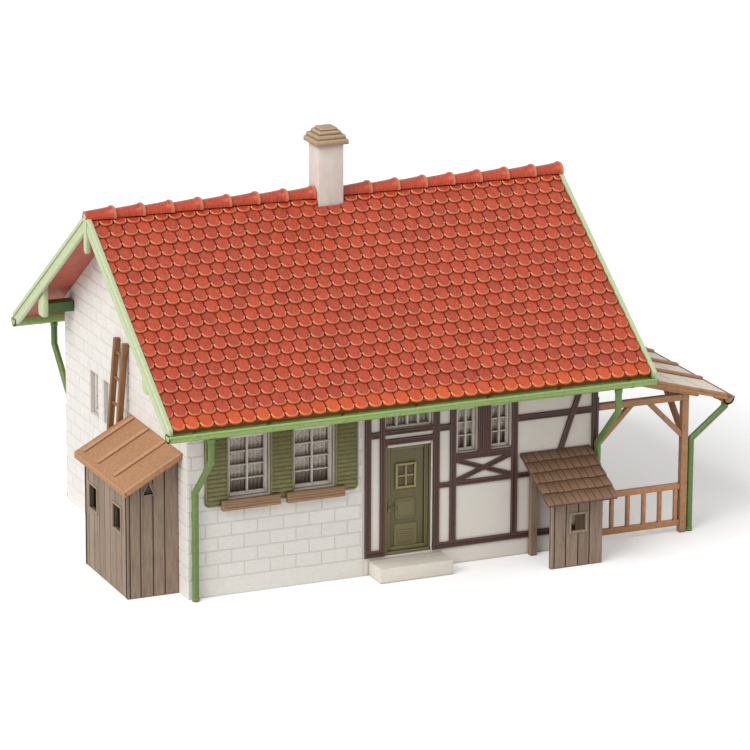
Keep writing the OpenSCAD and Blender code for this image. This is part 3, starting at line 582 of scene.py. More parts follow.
# Roof slopes
# Two roof mouldings meet at the ridge. Each carries rows of plain tiles with
# round tails, laid half a tile over from row to row, on a thin deck. The
# front's lowest row is a brighter orange.
eave_reach, verge_reach, board_t, roof_t = 11.4, 8.4, 1, 1.6
tile_w, tile_row, tile_gap = 3.137, 3.3, 0.1
tail_depth, tile_crown, tile_lap = 1.22, 0.1, 1.8
deck_top = -0.6
eave_z = wall_h + roof_t / math.cos(roof_pitch) - eave_reach * roof_slope
slope_l = (house_w / 2 + eave_reach) / math.cos(roof_pitch)
roof_x0, roof_x1 = board_t - verge_reach, house_l + verge_reach - board_t
chimney_x, chimney_side = 44.2, 5.8


def on_front_roof(u, v, w):
    c, s = math.cos(roof_pitch), math.sin(roof_pitch)
    return (u, -eave_reach + v * c - w * s, eave_z + v * s + w * c)


def on_rear_roof(u, v, w):
    x, y, z = on_front_roof(u, v, w)
    return (x, house_w - y, z)


def round_tail(shape, place, u0, u1, v, top, reach, tone):
    """A tile with a round tail between u0 and u1, its tail at v. One cut by a verge is narrower."""
    full = tile_w - tile_gap
    whole = u1 - u0 > full - 0.01
    if whole:
        centre = (u0 + u1) / 2
    elif u1 > roof_x1 - 0.03:
        centre = u0 + full / 2
    else:
        centre = u1 - full / 2
    steps = 12
    us = [u0 + (u1 - u0) * k / steps for k in range(steps + 1)]

    def tail(u, less):
        r = full / 2 - less
        bow = max(0.0, 1 - ((u - centre) / r) ** 2) ** 0.5
        return v + less + tail_depth * (1 - bow)

    def lift(u):
        return tile_crown * (1 - ((u - centre) / (full / 2)) ** 2)

    def squeeze(u, less):
        return centre + (u - centre) * (1 - less / (full / 2)) if whole else u

    # The rings round the tail take the rim colour, a painted highlight.
    rows, rims = [], []
    for less, drop, rim in ((0.0, 0.5, 0.0), (0.0, 0.12, 1.0), (0.13, 0.0, 1.0), (0.34, 0.06, 0.0)):
        rows.append([place(squeeze(u, less), tail(squeeze(u, less), less),
                           top + lift(u) * (less > 0) - drop) for u in us])
        rims += [rim] * len(us)
    rows.append([place(squeeze(u, 0.12), v + 1.8, top + lift(u) * 0.5 - 0.16) for u in us])
    for drop in (0.62, 0.9):
        rows.append([place(u, v + reach, top - drop) for u in us])
    rims += [0.0] * 3 * len(us)
    n = len(us)
    faces = [(k * n + i, k * n + i + 1, (k + 1) * n + i + 1, (k + 1) * n + i)
             for k in range(len(rows) - 1) for i in range(n - 1)]
    last = (len(rows) - 1) * n
    faces.append(tuple(range(n)) + tuple(last + i for i in reversed(range(n))))
    faces.append(tuple(k * n for k in range(len(rows))))
    faces.append(tuple(k * n + n - 1 for k in reversed(range(len(rows)))))
    shape.add([p for row in rows for p in row], faces, tone, rims)


def tiled_slope(place, first, last):
    """Rows of tiles from the first up to the last, stopping short at the chimney."""
    shape = Shape()
    chimney_foot = slope_l - 3.6
    for row in range(first, last):
        v = row * tile_row + 0.05
        start = roof_x0 - (tile_w / 2 if row % 2 else 0)
        reach = min(tile_row + tile_lap, slope_l - 0.3 - v)
        for k in range(round((roof_x1 - roof_x0) / tile_w) + 1):
            u0 = max(start + k * tile_w + tile_gap / 2, roof_x0 + 0.02)
            u1 = min(start + (k + 1) * tile_w - tile_gap / 2, roof_x1 - 0.02)
            if u1 - u0 < 0.4:
                continue
            beside = abs((u0 + u1) / 2 - chimney_x - chimney_side / 2) < chimney_side / 2 + 0.2
            if not beside or v + reach <= chimney_foot + 0.2:
                round_tail(shape, place, u0, u1, v, random.uniform(-0.06, 0.04), reach, random.random())
            elif v <= chimney_foot:
                round_tail(shape, place, u0, u1, v, -0.02, chimney_foot - v, random.random())
    return shape


def deck(place):
    """The smooth underside of a slope, notched round the chimney."""
    shape = Shape()
    notch = chimney_side / 2 / math.cos(roof_pitch)
    outline = [(roof_x0, 0.6), (roof_x1, 0.6), (roof_x1, slope_l), (chimney_x + chimney_side, slope_l),
               (chimney_x + chimney_side, slope_l - notch), (chimney_x, slope_l - notch),
               (chimney_x, slope_l), (roof_x0, slope_l)]
    rings = [[place(u, v if v < slope_l else v + w * roof_slope, w) for u, v in outline]
             for w in (-roof_t, deck_top)]
    shape.rings(rings, tone=0.4)
    return shape


roof_red = plastic("roof_red", paint(208, 80, 43), paint(150, 46, 22), paint(66, 18, 8),
                   stretch=(1.3, 0.3, 0.3), scale=2600, contrast=2.4, relief=0.06, roughness=0.36,
                   hollow_shade_share=0.85, reach=0.5, rim=paint(236, 144, 100), rim_share=0.7, tone=0.35)
soffit_red = plastic("soffit_red", paint(200, 102, 80), paint(170, 76, 58), paint(96, 36, 26),
                     scale=900, relief=0.03, roughness=0.5, hollow_shade_share=0.3)

eaves_orange = plastic("eaves_orange", paint(226, 94, 40), paint(180, 62, 22), paint(84, 26, 8),
                       stretch=(1, 0.35, 0.35), scale=2300, contrast=1.5, relief=0.05, roughness=0.36,
                       hollow_shade_share=0.85, reach=0.5, rim=paint(242, 154, 92), rim_share=0.7, tone=0.4)
tile_rows = round(slope_l / tile_row)

front_tiles = make("front_tiles", tiled_slope(on_front_roof, 1, tile_rows), roof_red, sharp=38)
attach(front_tiles, "root")
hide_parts("front_roof_slope")
front_eaves_tiles = make("front_eaves_tiles", tiled_slope(on_front_roof, 0, 1), eaves_orange, sharp=38)
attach(front_eaves_tiles, "root")
front_deck = make("front_roof_deck", deck(on_front_roof), soffit_red)
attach(front_deck, "root")

rear_tiles = make("rear_tiles", tiled_slope(on_rear_roof, 0, tile_rows), roof_red, sharp=38)
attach(rear_tiles, "root")
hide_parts("rear_roof_slope")
rear_deck = make("rear_roof_deck", deck(on_rear_roof), soffit_red)
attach(rear_deck, "root")

# Ridge tiles
# Half-round tiles that widen to the right, each end lapping over the next
# one's narrow start. The chimney takes the place of one.
ridge_z = wall_h + roof_t / math.cos(roof_pitch) + house_w / 2 * roof_slope
ridge_x0, ridge_x1 = -verge_reach, house_l + verge_reach
ridge_tiles = 17
ridge_pitch = (ridge_x1 - ridge_x0) / ridge_tiles


def ridge_tile(shape, x0, x1):
    """A tile that widens from its start at x0 to the collar at x1."""
    sides = 14
    stations = ((0.0, 1.28, 0.0), (0.55, 1.5, 0.05), (0.84, 1.66, 0.1), (0.87, 1.84, 0.12),
                (0.95, 1.88, 0.14), (1.0, 1.78, 0.1))
    # The collar takes the rim colour, a painted highlight.
    rings, rims = [], []
    for t, r, rise in stations:
        ring = []
        for k in range(sides + 1):
            a = math.radians(-18 + 216 * k / sides)
            ring.append((x0 + (x1 - x0) * t, house_w / 2 + r * math.cos(a) * 1.1,
                         ridge_z - 0.6 + rise + r * math.sin(a)))
        rings.append(ring)
        rims += [1.0 if t > 0.9 else 0.0] * len(ring)
    shape.rings(rings, tone=random.uniform(0.4, 0.8), rim=rims)


ridge = Shape()
for k in range(ridge_tiles):
    x0, x1 = ridge_x0 + k * ridge_pitch, ridge_x0 + (k + 1) * ridge_pitch
    if x0 < chimney_x + chimney_side and x1 > chimney_x:
        if chimney_x - x0 > 1.5:
            ridge_tile(ridge, x0 - 0.1, chimney_x)
        if x1 - chimney_x - chimney_side > 1.5:
            ridge_tile(ridge, chimney_x + chimney_side, x1)
    else:
        ridge_tile(ridge, max(x0 - 0.1, ridge_x0), x1)
ridge_capping = make("ridge_tiles", ridge, roof_red, sharp=50)
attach(ridge_capping, "root")
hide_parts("ridge_capping")

# Bargeboards, pendants and purlins
# The verges are closed by pale green boards with a raised upper strip and a
# groove under it. A pointed post hangs at each apex, and dark green purlin
# ends carry the boards.
board_h, board_lip, pendant_w, pendant_drop = 3.8, 0.3, 1.4, 9
gutter_r, gutter_t = 1.5, 0.45
gutter_y = 0.6 - eave_reach
gutter_z = wall_h - eave_reach * roof_slope + 0.6

trim_green = plastic("trim_green", paint(198, 208, 164), paint(168, 184, 128), paint(84, 104, 54),
                     scale=1300, relief=0.03, roughness=0.42, hollow_shade_share=0.8, rim=paint(226, 238, 206),
                     rim_share=0.6)
purlin_green = plastic("purlin_green", paint(76, 104, 54), paint(50, 76, 36), paint(20, 36, 14),
                       scale=1300, relief=0.03, roughness=0.45)


def roof_top(y):
    return ridge_z - abs(y - house_w / 2) * roof_slope


def near(y):
    return y


def far(y):
    return house_w - y


def left_edge(w):
    return board_t - verge_reach - w


def right_edge(w):
    return house_l + verge_reach - board_t + w


def bargeboard(shape, place):
    """Half of a verge's board, with a raised strip above and below its groove."""
    apex = (house_w - pendant_w) / 2
    back_y = gutter_y + gutter_r
    drop = board_h / math.cos(roof_pitch) * 0.82

    def below(y, down):
        return (y, roof_top(y) + board_lip - down)

    body = [below(-eave_reach, 0.07), below(apex, 0.02), below(apex, drop), below(back_y, drop),
            (back_y, gutter_z + 0.2), (-eave_reach, gutter_z + 0.2)]
    upper = [below(-eave_reach, 0.05), below(apex, 0), below(apex, 1.1), below(back_y, 1.1),
             below(-eave_reach, 1.1)]
    lower = [below(back_y, 2.0), below(apex, 2.0), below(apex, drop), below(back_y, drop)]
    for outline, low, high in ((body, 0, 0.72), (upper, 0.5, 1.0), (lower, 0.5, 0.88)):
        shape.plate(outline, place, low, high, 0.1, tone=0.6)


def verge(name, x_of):
    """Both halves of a gable's boards."""
    shape = Shape()
    for turn in (near, far):
        bargeboard(shape, lambda u, v, w, turn=turn: (x_of(w), turn(u), v))
    return make(name, shape, trim_green, edge=0.06)


left_verge = verge("left_verge_boards", left_edge)
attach(left_verge, "root")
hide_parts("left_bargeboards")
right_verge = verge("right_verge_boards", right_edge)
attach(right_verge, "root")
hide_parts("right_bargeboards")

pendants = Shape()
for x_of in (left_edge, right_edge):
    half, top, middle = pendant_w / 2, ridge_z + board_lip, house_w / 2
    pendants.plate([(middle - half, top - pendant_drop + half), (middle, top - pendant_drop),
                    (middle + half, top - pendant_drop + half), (middle + half, top - half * roof_slope),
                    (middle, top), (middle - half, top - half * roof_slope)],
                   lambda u, v, w, x_of=x_of: (x_of(w), u, v), 0, 1.1, 0.2, tone=0.8)
pendant_posts = make("pendant_posts", pendants, trim_green, edge=0.06)
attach(pendant_posts, "root")
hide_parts("gable_pendants")

purlin_w, purlin_h, purlin_inset = 3.2, 5, 5
bracket_t = 1.3
purlins, brackets = Shape(), Shape()
for along in (lambda w: -w, lambda w: house_l + w):
    for turn in (near, far):
        y0, y1 = purlin_inset - purlin_w / 2, purlin_inset + purlin_w / 2
        under = roof_top(y0) - roof_t / math.cos(roof_pitch)
        foot = under - purlin_h

        def place(u, v, w, along=along, turn=turn):
            return (along(w), turn(u), v)

        purlins.plate([(y0, foot + 0.9), (y1, foot + 0.9), (y1, foot + 3.2), (y0, foot + 3.2)], place,
                      0, verge_reach - board_t - bracket_t + 0.02)
        brackets.plate([(y0, foot + 0.6), (y0 + 0.6, foot), (y1 - 0.6, foot), (y1, foot + 0.6),
                        (y1, under + purlin_w * roof_slope), (y0, under)], place,
                       verge_reach - board_t - bracket_t, verge_reach - board_t, 0.2)
purlin_stubs = make("purlin_stubs", purlins, purlin_green, edge=0.08)
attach(purlin_stubs, "root")
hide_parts("purlin_ends")
purlin_brackets = make("purlin_brackets", brackets, trim_green, edge=0.06)
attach(purlin_brackets, "root")

# Gutters and downpipes
# Half-round gutters with a rolled rim and narrow collars hang from a flange
# at the eaves. The eight-sided pipes run back to the wall and down to the
# ground.
gutter_green = plastic("gutter_green", paint(164, 190, 110), paint(130, 160, 80), paint(34, 56, 18),
                       scale=1200, relief=0.02, roughness=0.3, hollow_shade_share=0.75, reach=0.8,
                       rim=paint(206, 236, 170), rim_share=0.5)
pipe_green = plastic("pipe_green", paint(116, 144, 76), paint(86, 114, 52), paint(36, 56, 20),
                     scale=1200, relief=0.03, roughness=0.36, rim=paint(170, 206, 140), rim_share=0.5)


def arc(r, first, last, steps=10):
    """Points on an arc between two angles in degrees."""
    angles = [math.radians(first + (last - first) * k / steps) for k in range(steps + 1)]
    return [(r * math.cos(a), r * math.sin(a)) for a in angles]


def half_round(r, t):
    """Section of a gutter, its outer rim rolled into a bead."""
    bead = [(-r + 0.28 * math.cos(a) + 0.05, 0.28 * math.sin(a) + 0.12)
            for a in (math.radians(d) for d in (0, 60, 120, 180, 230))]
    return arc(r, 180, 360) + arc(r - t, 360, 180) + bead


def eaves_gutter(y_of):
    """A gutter with stopped ends, collars and the flange that hangs it from the roof."""
    shape = Shape()
    section = half_round(gutter_r, gutter_t)
    x0, x1 = -verge_reach, house_l + verge_reach
    shape.rings([[(x, y_of(gutter_y + a), gutter_z + b) for a, b in section] for x in (x0, x1)], tone=0.6)
    end = arc(gutter_r, 180, 360)
    for x in (x0, x1 - 0.4):
        shape.rings([[(x + w, y_of(gutter_y + a), gutter_z + b) for a, b in end] for w in (0, 0.4)],
                    tone=0.8)
    back_y = gutter_y + gutter_r
    for k in range(7):
        x = x0 + 6 + k * (x1 - x0 - 12) / 6
        shape.rings([[(x + w, y_of(gutter_y + a * 1.06), gutter_z + b * 1.06) for a, b in end]
                     for w in (0, 0.5)], tone=0.5)
    under = roof_top(back_y) - roof_t / math.cos(roof_pitch)
    shape.rings([[(x, y_of(back_y - 0.4), gutter_z - 0.1), (x, y_of(back_y), gutter_z - 0.1),
                  (x, y_of(back_y), under), (x, y_of(back_y - 0.4), under)]
                 for x in (roof_x0, roof_x1)], tone=0.1)
    return shape


front_gutter = make("front_eaves_gutter", eaves_gutter(near), gutter_green, edge=0.05, sharp=50)
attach(front_gutter, "root")
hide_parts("front_gutter")
rear_gutter = make("rear_eaves_gutter", eaves_gutter(far), gutter_green, edge=0.05, sharp=50)
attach(rear_gutter, "root")
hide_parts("rear_gutter")

pipe_r, pipe_gap, pipe_drop = 0.75, 0.55, 5


def round_bar(r, sides, start=0):
    """Section of a bar with this many sides."""
    return arc(r, start, start + 360, sides)[:-1]


octagon = round_bar(pipe_r, 8, 22.5)


def ferrule(shape, place, low, high, grow):
    """A wider ring round an upright pipe."""
    shape.rings([[(place[0] + a * g, place[1] + b * g, z) for a, b in octagon]
                 for z, g in ((low, 1), (low + 0.15, grow), (high - 0.15, grow), (high, 1))], tone=0.8)


pipes = Shape()
for x in (1.2, house_l - 1.2 + pipe_r):
    for y_of in (near, far):
        wall_y = -pipe_gap - pipe_r
        bend_z = gutter_z - gutter_r - pipe_drop
        foot_z = bend_z - (wall_y - gutter_y)
        pipes.sweep(octagon, [(x, y_of(gutter_y), gutter_z - gutter_r + 0.3), (x, y_of(gutter_y), bend_z),
                              (x, y_of(wall_y), foot_z), (x, y_of(wall_y), 0)], (1, 0, 0), tone=0.5)
        ferrule(pipes, (x, y_of(gutter_y)), gutter_z - gutter_r - 0.9, gutter_z - gutter_r + 0.2, 1.16)
        ferrule(pipes, (x, y_of(wall_y)), 0, 1.0, 1.14)
downpipes = make("house_drainpipes", pipes, pipe_green, edge=0.08, sharp=25)
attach(downpipes, "root")
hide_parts("house_downpipes")

# Chimney
# A plastered square shaft sits astride the ridge. Its brown cap reaches past
# the shaft in two steps, with two narrower ones above them.
chimney_rise, cap_steps = 10.8, ((0.85, 1.2), (0.4, 0.9), (-0.35, 0.8), (-0.95, 0.6))
shaft_y = (house_w - chimney_side) / 2
shaft_foot = ridge_z - roof_t / math.cos(roof_pitch) - chimney_side / 2 * roof_slope
shaft = Shape()
shaft.box((chimney_x, shaft_y, shaft_foot),
          (chimney_x + chimney_side, shaft_y + chimney_side, ridge_z + chimney_rise), tone=0.6)
chimney_white = plastic("chimney_white", paint(232, 224, 214), paint(212, 202, 192), paint(150, 130, 116),
                        stretch=(1, 1, 0.4), scale=700, relief=0.04, roughness=0.6, reach=1.0,
                        hollow_shade_share=0.4)
chimney = make("chimney_stack", shaft, chimney_white, edge=0.14)
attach(chimney, "root")
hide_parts("chimney_shaft")

cap = Shape()
step_z = ridge_z + chimney_rise
for reach, height in cap_steps:
    cap.plate(rectangle(chimney_x - reach, shaft_y - reach, chimney_x + chimney_side + reach,
                        shaft_y + chimney_side + reach), lambda u, v, w: (u, v, step_z + w), 0, height, 0.25)
    step_z += height
cap_brown = plastic("cap_brown", paint(182, 154, 122), paint(146, 116, 88), paint(84, 58, 38),
                    scale=1500, relief=0.05, roughness=0.6, rim=paint(222, 200, 168), rim_share=0.5)
chimney_top = make("chimney_top", cap, cap_brown, edge=0.05)
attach(chimney_top, "root")
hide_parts("chimney_cap")

# Front door
# A moulded panelled door: a small glazed light, a raised panel, a lower panel
# with a letter plate, and a lever handle. The frame is olive at its left and
# foot and white at its right and head, under a fanlight and over a step.
door_olive = plastic("door_olive", paint(108, 98, 62), paint(90, 82, 49), paint(34, 30, 16),
                     stretch=(1, 1, 0.4), scale=1300, contrast=1, relief=0.03, roughness=0.42, reach=0.5,
                     rim=paint(172, 166, 112), rim_share=0.4)
frame_white = plastic("frame_white", paint(224, 216, 204), paint(198, 188, 174), paint(92, 74, 58),
                      scale=1200, relief=0.03, roughness=0.4, reach=0.5, hollow_shade_share=0.8,
                      rim=paint(240, 240, 236), rim_share=0.6)
door_glass = plastic("door_glass", paint(92, 78, 42), paint(58, 48, 26), paint(24, 18, 10),
                     scale=500, relief=0.01, roughness=0.18)
leaf_u, leaf_v = (door_x + 0.7, door_x + door_w - 0.7), (door_sill + 0.7, door_head - 0.7)


def rounded(u0, v0, u1, v1, r, steps=4):
    """A rectangle with round corners."""
    points = []
    for cu, cv, start in ((u1 - r, v0 + r, -90), (u1 - r, v1 - r, 0),
                          (u0 + r, v1 - r, 90), (u0 + r, v0 + r, 180)):
        points += [(cu + a, cv + b) for a, b in arc(r, start, start + 90, steps)]
    return points


def bars(shape, place, u0, v0, u1, v1, wide, low, high, chamfer=0.1, tone=None):
    """Four members round an opening."""
    for a, b, c, d in ((u0, v0, u0 + wide, v1), (u1 - wide, v0, u1, v1),
                       (u0 + wide, v0, u1 - wide, v0 + wide), (u0 + wide, v1 - wide, u1 - wide, v1)):
        shape.plate(rectangle(a, b, c, d), place, low, high, chamfer, tone)


leaf = Shape()
light_v, panel_v, low_v = (18.4, 24.0), (11.4, 16.2), (5.25, 10.5)
light_u = (leaf_u[0] + 2.1, leaf_u[0] + 6.9)
for u0, v0, u1, v1 in around((leaf_u[0], leaf_v[0], leaf_u[1], leaf_v[1]),
                             [(light_u[0] + 0.3, light_v[0] + 0.3, light_u[1] - 0.3, light_v[1] - 0.3)]):
    leaf.plate(rectangle(u0, v0, u1, v1), on_front, -1.2, -0.7, tone=0.4)
bars(leaf, on_front, leaf_u[0], leaf_v[0], leaf_u[1], leaf_v[1], 0.9, -0.75, -0.42, 0.12, 0.5)
light_bars = Shape()
bars(light_bars, on_front, light_u[0], light_v[0], light_u[1], light_v[1], 0.5, -0.9, -0.2, 0.12, 1.0)
middle = (light_u[0] + light_u[1]) / 2
light_bars.plate(rectangle(middle - 0.22, light_v[0] + 0.5, middle + 0.22, light_v[1] - 0.5),
                 on_front, -0.9, -0.32, 0.08)
level_v = (light_v[0] + light_v[1]) / 2
light_bars.plate(rectangle(light_u[0] + 0.5, level_v - 0.2, light_u[1] - 0.5, level_v + 0.2),
                 on_front, -0.9, -0.36, 0.08)
leaf.plate(rounded(light_u[0] - 0.1, panel_v[0], light_u[1] - 0.1, panel_v[1], 1.0),
           on_front, -0.75, -0.4, 0.18)
leaf.plate(rounded(light_u[0] + 0.5, panel_v[0] + 0.6, light_u[1] - 0.7, panel_v[1] - 0.6, 0.7),
           on_front, -0.45, -0.22, 0.12, 0.9)
leaf.plate(rounded(light_u[0] - 0.3, low_v[0] + 0.2, light_u[1] + 0.3, low_v[1], 0.5),
           on_front, -0.75, -0.46, 0.16)
letter_v = (6.3, 9.1)
leaf.plate(rounded(light_u[0] + 0.5, letter_v[0], light_u[1] - 0.8, letter_v[1], 0.3),
           on_front, -0.5, -0.26, 0.1, 0.9)
for k in range(3):
    line_v = letter_v[0] + 0.45 + 0.8 * k
    leaf.plate(rectangle(light_u[0] + 0.8, line_v, light_u[1] - 1.1, line_v + 0.3),
               on_front, -0.3, -0.12, 0.08, 1.0)
for k in range(2):
    rib_u = leaf_u[1] - 1.05 + 0.5 * k
    leaf.plate(rectangle(rib_u, leaf_v[0] + 0.5, rib_u + 0.3, leaf_v[1] - 0.5),
               on_front, -0.5, -0.24, 0.08, 0.9)
handle_v, handle_plate_v = 14.6, (13.4, 16.0)
leaf.plate(rounded(leaf_u[0] + 0.3, handle_plate_v[0], leaf_u[0] + 1.0, handle_plate_v[1], 0.3),
           on_front, -0.5, -0.2, 0.1, 0.9)
leaf.sweep(round_bar(0.16, 8),
           [on_front(leaf_u[0] + 0.65, handle_v, -0.3), on_front(leaf_u[0] + 0.65, handle_v, 0.15),
            on_front(leaf_u[0] + 2.0, handle_v, 0.15)], (0, 0, 1), tone=1.0)
door_leaf = make("door_leaf", leaf, door_olive, edge=0.04)
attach(door_leaf, "root")
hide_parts("front_door")

light_gold = plastic("light_gold", paint(156, 141, 88), paint(130, 115, 68), paint(56, 46, 24),
                     scale=1400, relief=0.02, roughness=0.4, rim=paint(206, 192, 132), rim_share=0.5)
door_light_frame = make("door_light_frame", light_bars, light_gold, edge=0.03)
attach(door_light_frame, "root")

light_pane = Shape()
light_pane.plate(rectangle(light_u[0] + 0.2, light_v[0] + 0.2, light_u[1] - 0.2, light_v[1] - 0.2),
                 on_front, -1.2, -0.8)
door_light = make("door_light", light_pane, door_glass)
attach(door_light, "root")

jambs, surround = Shape(), Shape()
for u0, v0, u1, v1 in ((door_x, door_sill, leaf_u[0], door_head),
                       (leaf_u[0], door_sill, leaf_u[1], leaf_v[0])):
    jambs.plate(rectangle(u0, v0, u1, v1), on_front, -1.2, 0.1, 0.12)
jambs.plate(rectangle(leaf_u[1], door_sill, leaf_u[1] + 0.3, door_head), on_front, -1.2, -0.1, 0.1, 0.9)
door_jambs = make("door_jambs", jambs, door_olive, edge=0.04)
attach(door_jambs, "root")
for u0, v0, u1, v1 in ((leaf_u[1] + 0.3, door_sill, door_x + door_w, door_head),
                       (leaf_u[0], leaf_v[1], leaf_u[1] + 0.3, door_head)):
    surround.plate(rectangle(u0, v0, u1, v1), on_front, -1.2, 0.2, 0.12)
door_surround = make("door_surround", surround, frame_white, edge=0.04)
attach(door_surround, "root")
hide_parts("door_frame")

fanlight = Shape()
bars(fanlight, on_front, door_x, transom_z, door_x + door_w, transom_z + transom_h, 0.6, -1.7, -0.6, 0.12)
for k in range(1, 4):
    u = door_x + 0.6 + (door_w - 1.2) * k / 4
    fanlight.plate(rectangle(u - 0.25, transom_z + 0.5, u + 0.25, transom_z + transom_h - 0.5),
                   on_front, -1.7, -0.7, 0.12)
door_fanlight = make("door_fanlight", fanlight, frame_white, edge=0.04)
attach(door_fanlight, "root")
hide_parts("transom_window")

tread = Shape()
tread.box((door_x - 3.6, -6.5, 0), (door_x + door_w + 2.2, 0, 3.3), tone=0.7)
step_white = plastic("step_white", paint(232, 226, 214), paint(220, 213, 200), paint(150, 142, 130),
                     scale=900, relief=0.03, roughness=0.65, reach=0.6, tone=0.2)
doorstep = make("doorstep", tread, step_white, edge=0.28)
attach(doorstep, "root")
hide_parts("door_step")

# Windows
# White moulded sashes with thin bars stand back in their openings. Behind
# them hangs a printed sheet of pleated lace curtain, dark along its foot.
bar_up, bar_level = 0.4, 0.28
frame_out, frame_in, pane_in = -0.9, -1.7, -2.0


def sash(shape, place, u0, v0, u1, v1, rows, member):
    """A two-light window of this many rows, its frame this wide."""
    bars(shape, place, u0, v0, u1, v1, member, frame_in, frame_out, 0.14, 0.7)
    u, low, high = (u0 + u1) / 2, v0 + member, v1 - member
    shape.plate(rectangle(u - bar_up / 2, low - 0.1, u + bar_up / 2, high + 0.1), place,
                frame_in, frame_out + 0.1, 0.12)
    for k in range(1, rows):
        v = low + (high - low) * k / rows
        shape.plate(rectangle(u0 + member - 0.1, v - bar_level / 2, u1 - member + 0.1, v + bar_level / 2),
                    place, frame_in, frame_out - 0.12, 0.08)
    sides = ((u0 + member - 0.05, u0 + member + 0.18), (u1 - member - 0.18, u1 - member + 0.05))
    for a, b in sides:
        shape.plate(rectangle(a, low, b, high), place, frame_in, frame_out - 0.2, 0.05, 0.3)
    shape.plate(rectangle(u0 + member, v0 + member - 0.1, u1 - member, v0 + member + 0.16), place,
                frame_in, frame_out - 0.1, 0.06, 0.3)


def curtain(shape, place, u0, v0, u1, v1, rows, foot=1.0):
    """A pleated sheet, darker at the foot of every pane and dark brown in the lowest row, with painted shade
    in the hollows of its pleats.
    """
    folds = max(3, round((u1 - u0) / 0.95))
    levels = []
    for k in range(rows):
        a, b = v0 + (v1 - v0) * k / rows, v0 + (v1 - v0) * (k + 1) / rows
        deep = foot if k == 0 else 0.6
        levels += [(a, deep), (a + (b - a) * 0.25, deep),
                   (a + (b - a) * 0.42, deep * 0.9 if k == 0 else 0.15),
                   (b - 0.02, 0.55 if k == 0 else 0.05)]
    columns = folds * 6
    verts, rims = [], []
    for v, dark in levels:
        for i in range(columns + 1):
            a = 2 * math.pi * folds * i / columns
            w = frame_in - 0.13 + 0.1 * math.cos(a + 0.7 * math.sin(v * 0.9))
            verts.append(place(u0 + (u1 - u0) * i / columns, v, w))
            # Painted shade: the rim mark grows darker in the hollows of the pleats.
            rims.append(min(1.0, dark + 0.14 * (0.5 - 0.5 * math.cos(a))))
    for v, dark in levels:
        for i in range(columns + 1):
            verts.append(place(u0 + (u1 - u0) * i / columns, v, pane_in))
            rims.append(dark)
    n, m, half = columns + 1, len(levels), (columns + 1) * len(levels)
    faces = []
    for k in range(m - 1):
        for i in range(n - 1):
            a = k * n + i
            faces.append((a, a + 1, a + n + 1, a + n))
            faces.append((half + a, half + a + n, half + a + n + 1, half + a + 1))
    for i in range(n - 1):
        a, b = i, (m - 1) * n + i
        faces += [(a + 1, a, half + a, half + a + 1), (b, b + 1, half + b + 1, half + b)]
    for k in range(m - 1):
        a, b = k * n, k * n + n - 1
        faces += [(a, a + n, half + a + n, half + a), (b + n, b, half + b, half + b + n)]
    shape.add(verts, faces, None, rims)


def window(sashes, place, u, v, width, rows, member):
    """A sash in its opening and the curtain behind it."""
    margin = member - 0.2
    sash(sashes, place, u, v, u + width, window_head_z, rows, member)
    curtain(curtains, place, u + margin, v + margin, u + width - margin, window_head_z - margin, rows)


# The dark brown rim colour darkens the foot of each pane and, as painted shade, the hollows of the pleats.
curtain_film = plastic("curtain_film", paint(234, 226, 212), paint(150, 137, 121), paint(80, 62, 46),
                       stretch=(1.4, 1.4, 1.0), scale=2200, contrast=3.2, relief=0.02, roughness=0.3,
                       hollow_shade_share=0.5, reach=0.5, rim=paint(70, 48, 34), rim_share=1.0)
front_sashes, gable_sashes, rear_sashes, curtains = Shape(), Shape(), Shape(), Shape()
for x in masonry_window_x:
    window(front_sashes, on_front, x, sill_z, masonry_window_w, 4, 0.7)
for x in casement_x:
    window(front_sashes, on_front, x, high_sill_z, casement_w, 3, 0.5)
curtain(curtains, on_front, door_x + 0.4, transom_z + 0.4, door_x + door_w - 0.4,
        transom_z + transom_h - 0.4, 1, 0.3)
for side in (on_left, on_right):
    for y in gable_window_y:
        window(gable_sashes, side, y, high_sill_z, gable_window_w, 3, 0.6)
for x in rear_window_x:
    window(rear_sashes, on_rear, x, sill_z, masonry_window_w, 4, 0.7)
front_frames = make("front_sashes", front_sashes, frame_white, edge=0.03)
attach(front_frames, "root")
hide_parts("front_windows")
gable_frames = make("gable_sashes", gable_sashes, frame_white, edge=0.03)
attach(gable_frames, "root")
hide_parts("gable_windows")
rear_frames = make("rear_sashes", rear_sashes, frame_white, edge=0.03)
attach(rear_frames, "root")
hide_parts("rear_windows")
lace = make("lace_curtains", curtains, curtain_film, sharp=60)
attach(lace, "root")
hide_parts("window_panes")

# Shutters and window boxes
# Olive shutters of level slats in a narrow frame, their lower corners round,
# stand open against the wall. A grained brown box hangs under each of the
# two shuttered windows at the front.
shutter_w, shutter_gap, shutter_drop, shutter_lift = 5.2, 0.1, 1.3, 0.6
slat = 0.97
shutter_olive = plastic("shutter_olive", paint(138, 132, 80), paint(104, 99, 54), paint(40, 38, 18),
                        stretch=(0.4, 0.4, 1), scale=1500, relief=0.05, roughness=0.42, reach=0.5,
                        hollow_shade_share=0.95, rim=paint(160, 160, 116), rim_share=0.4, tone=0.5)
shutters = Shape()


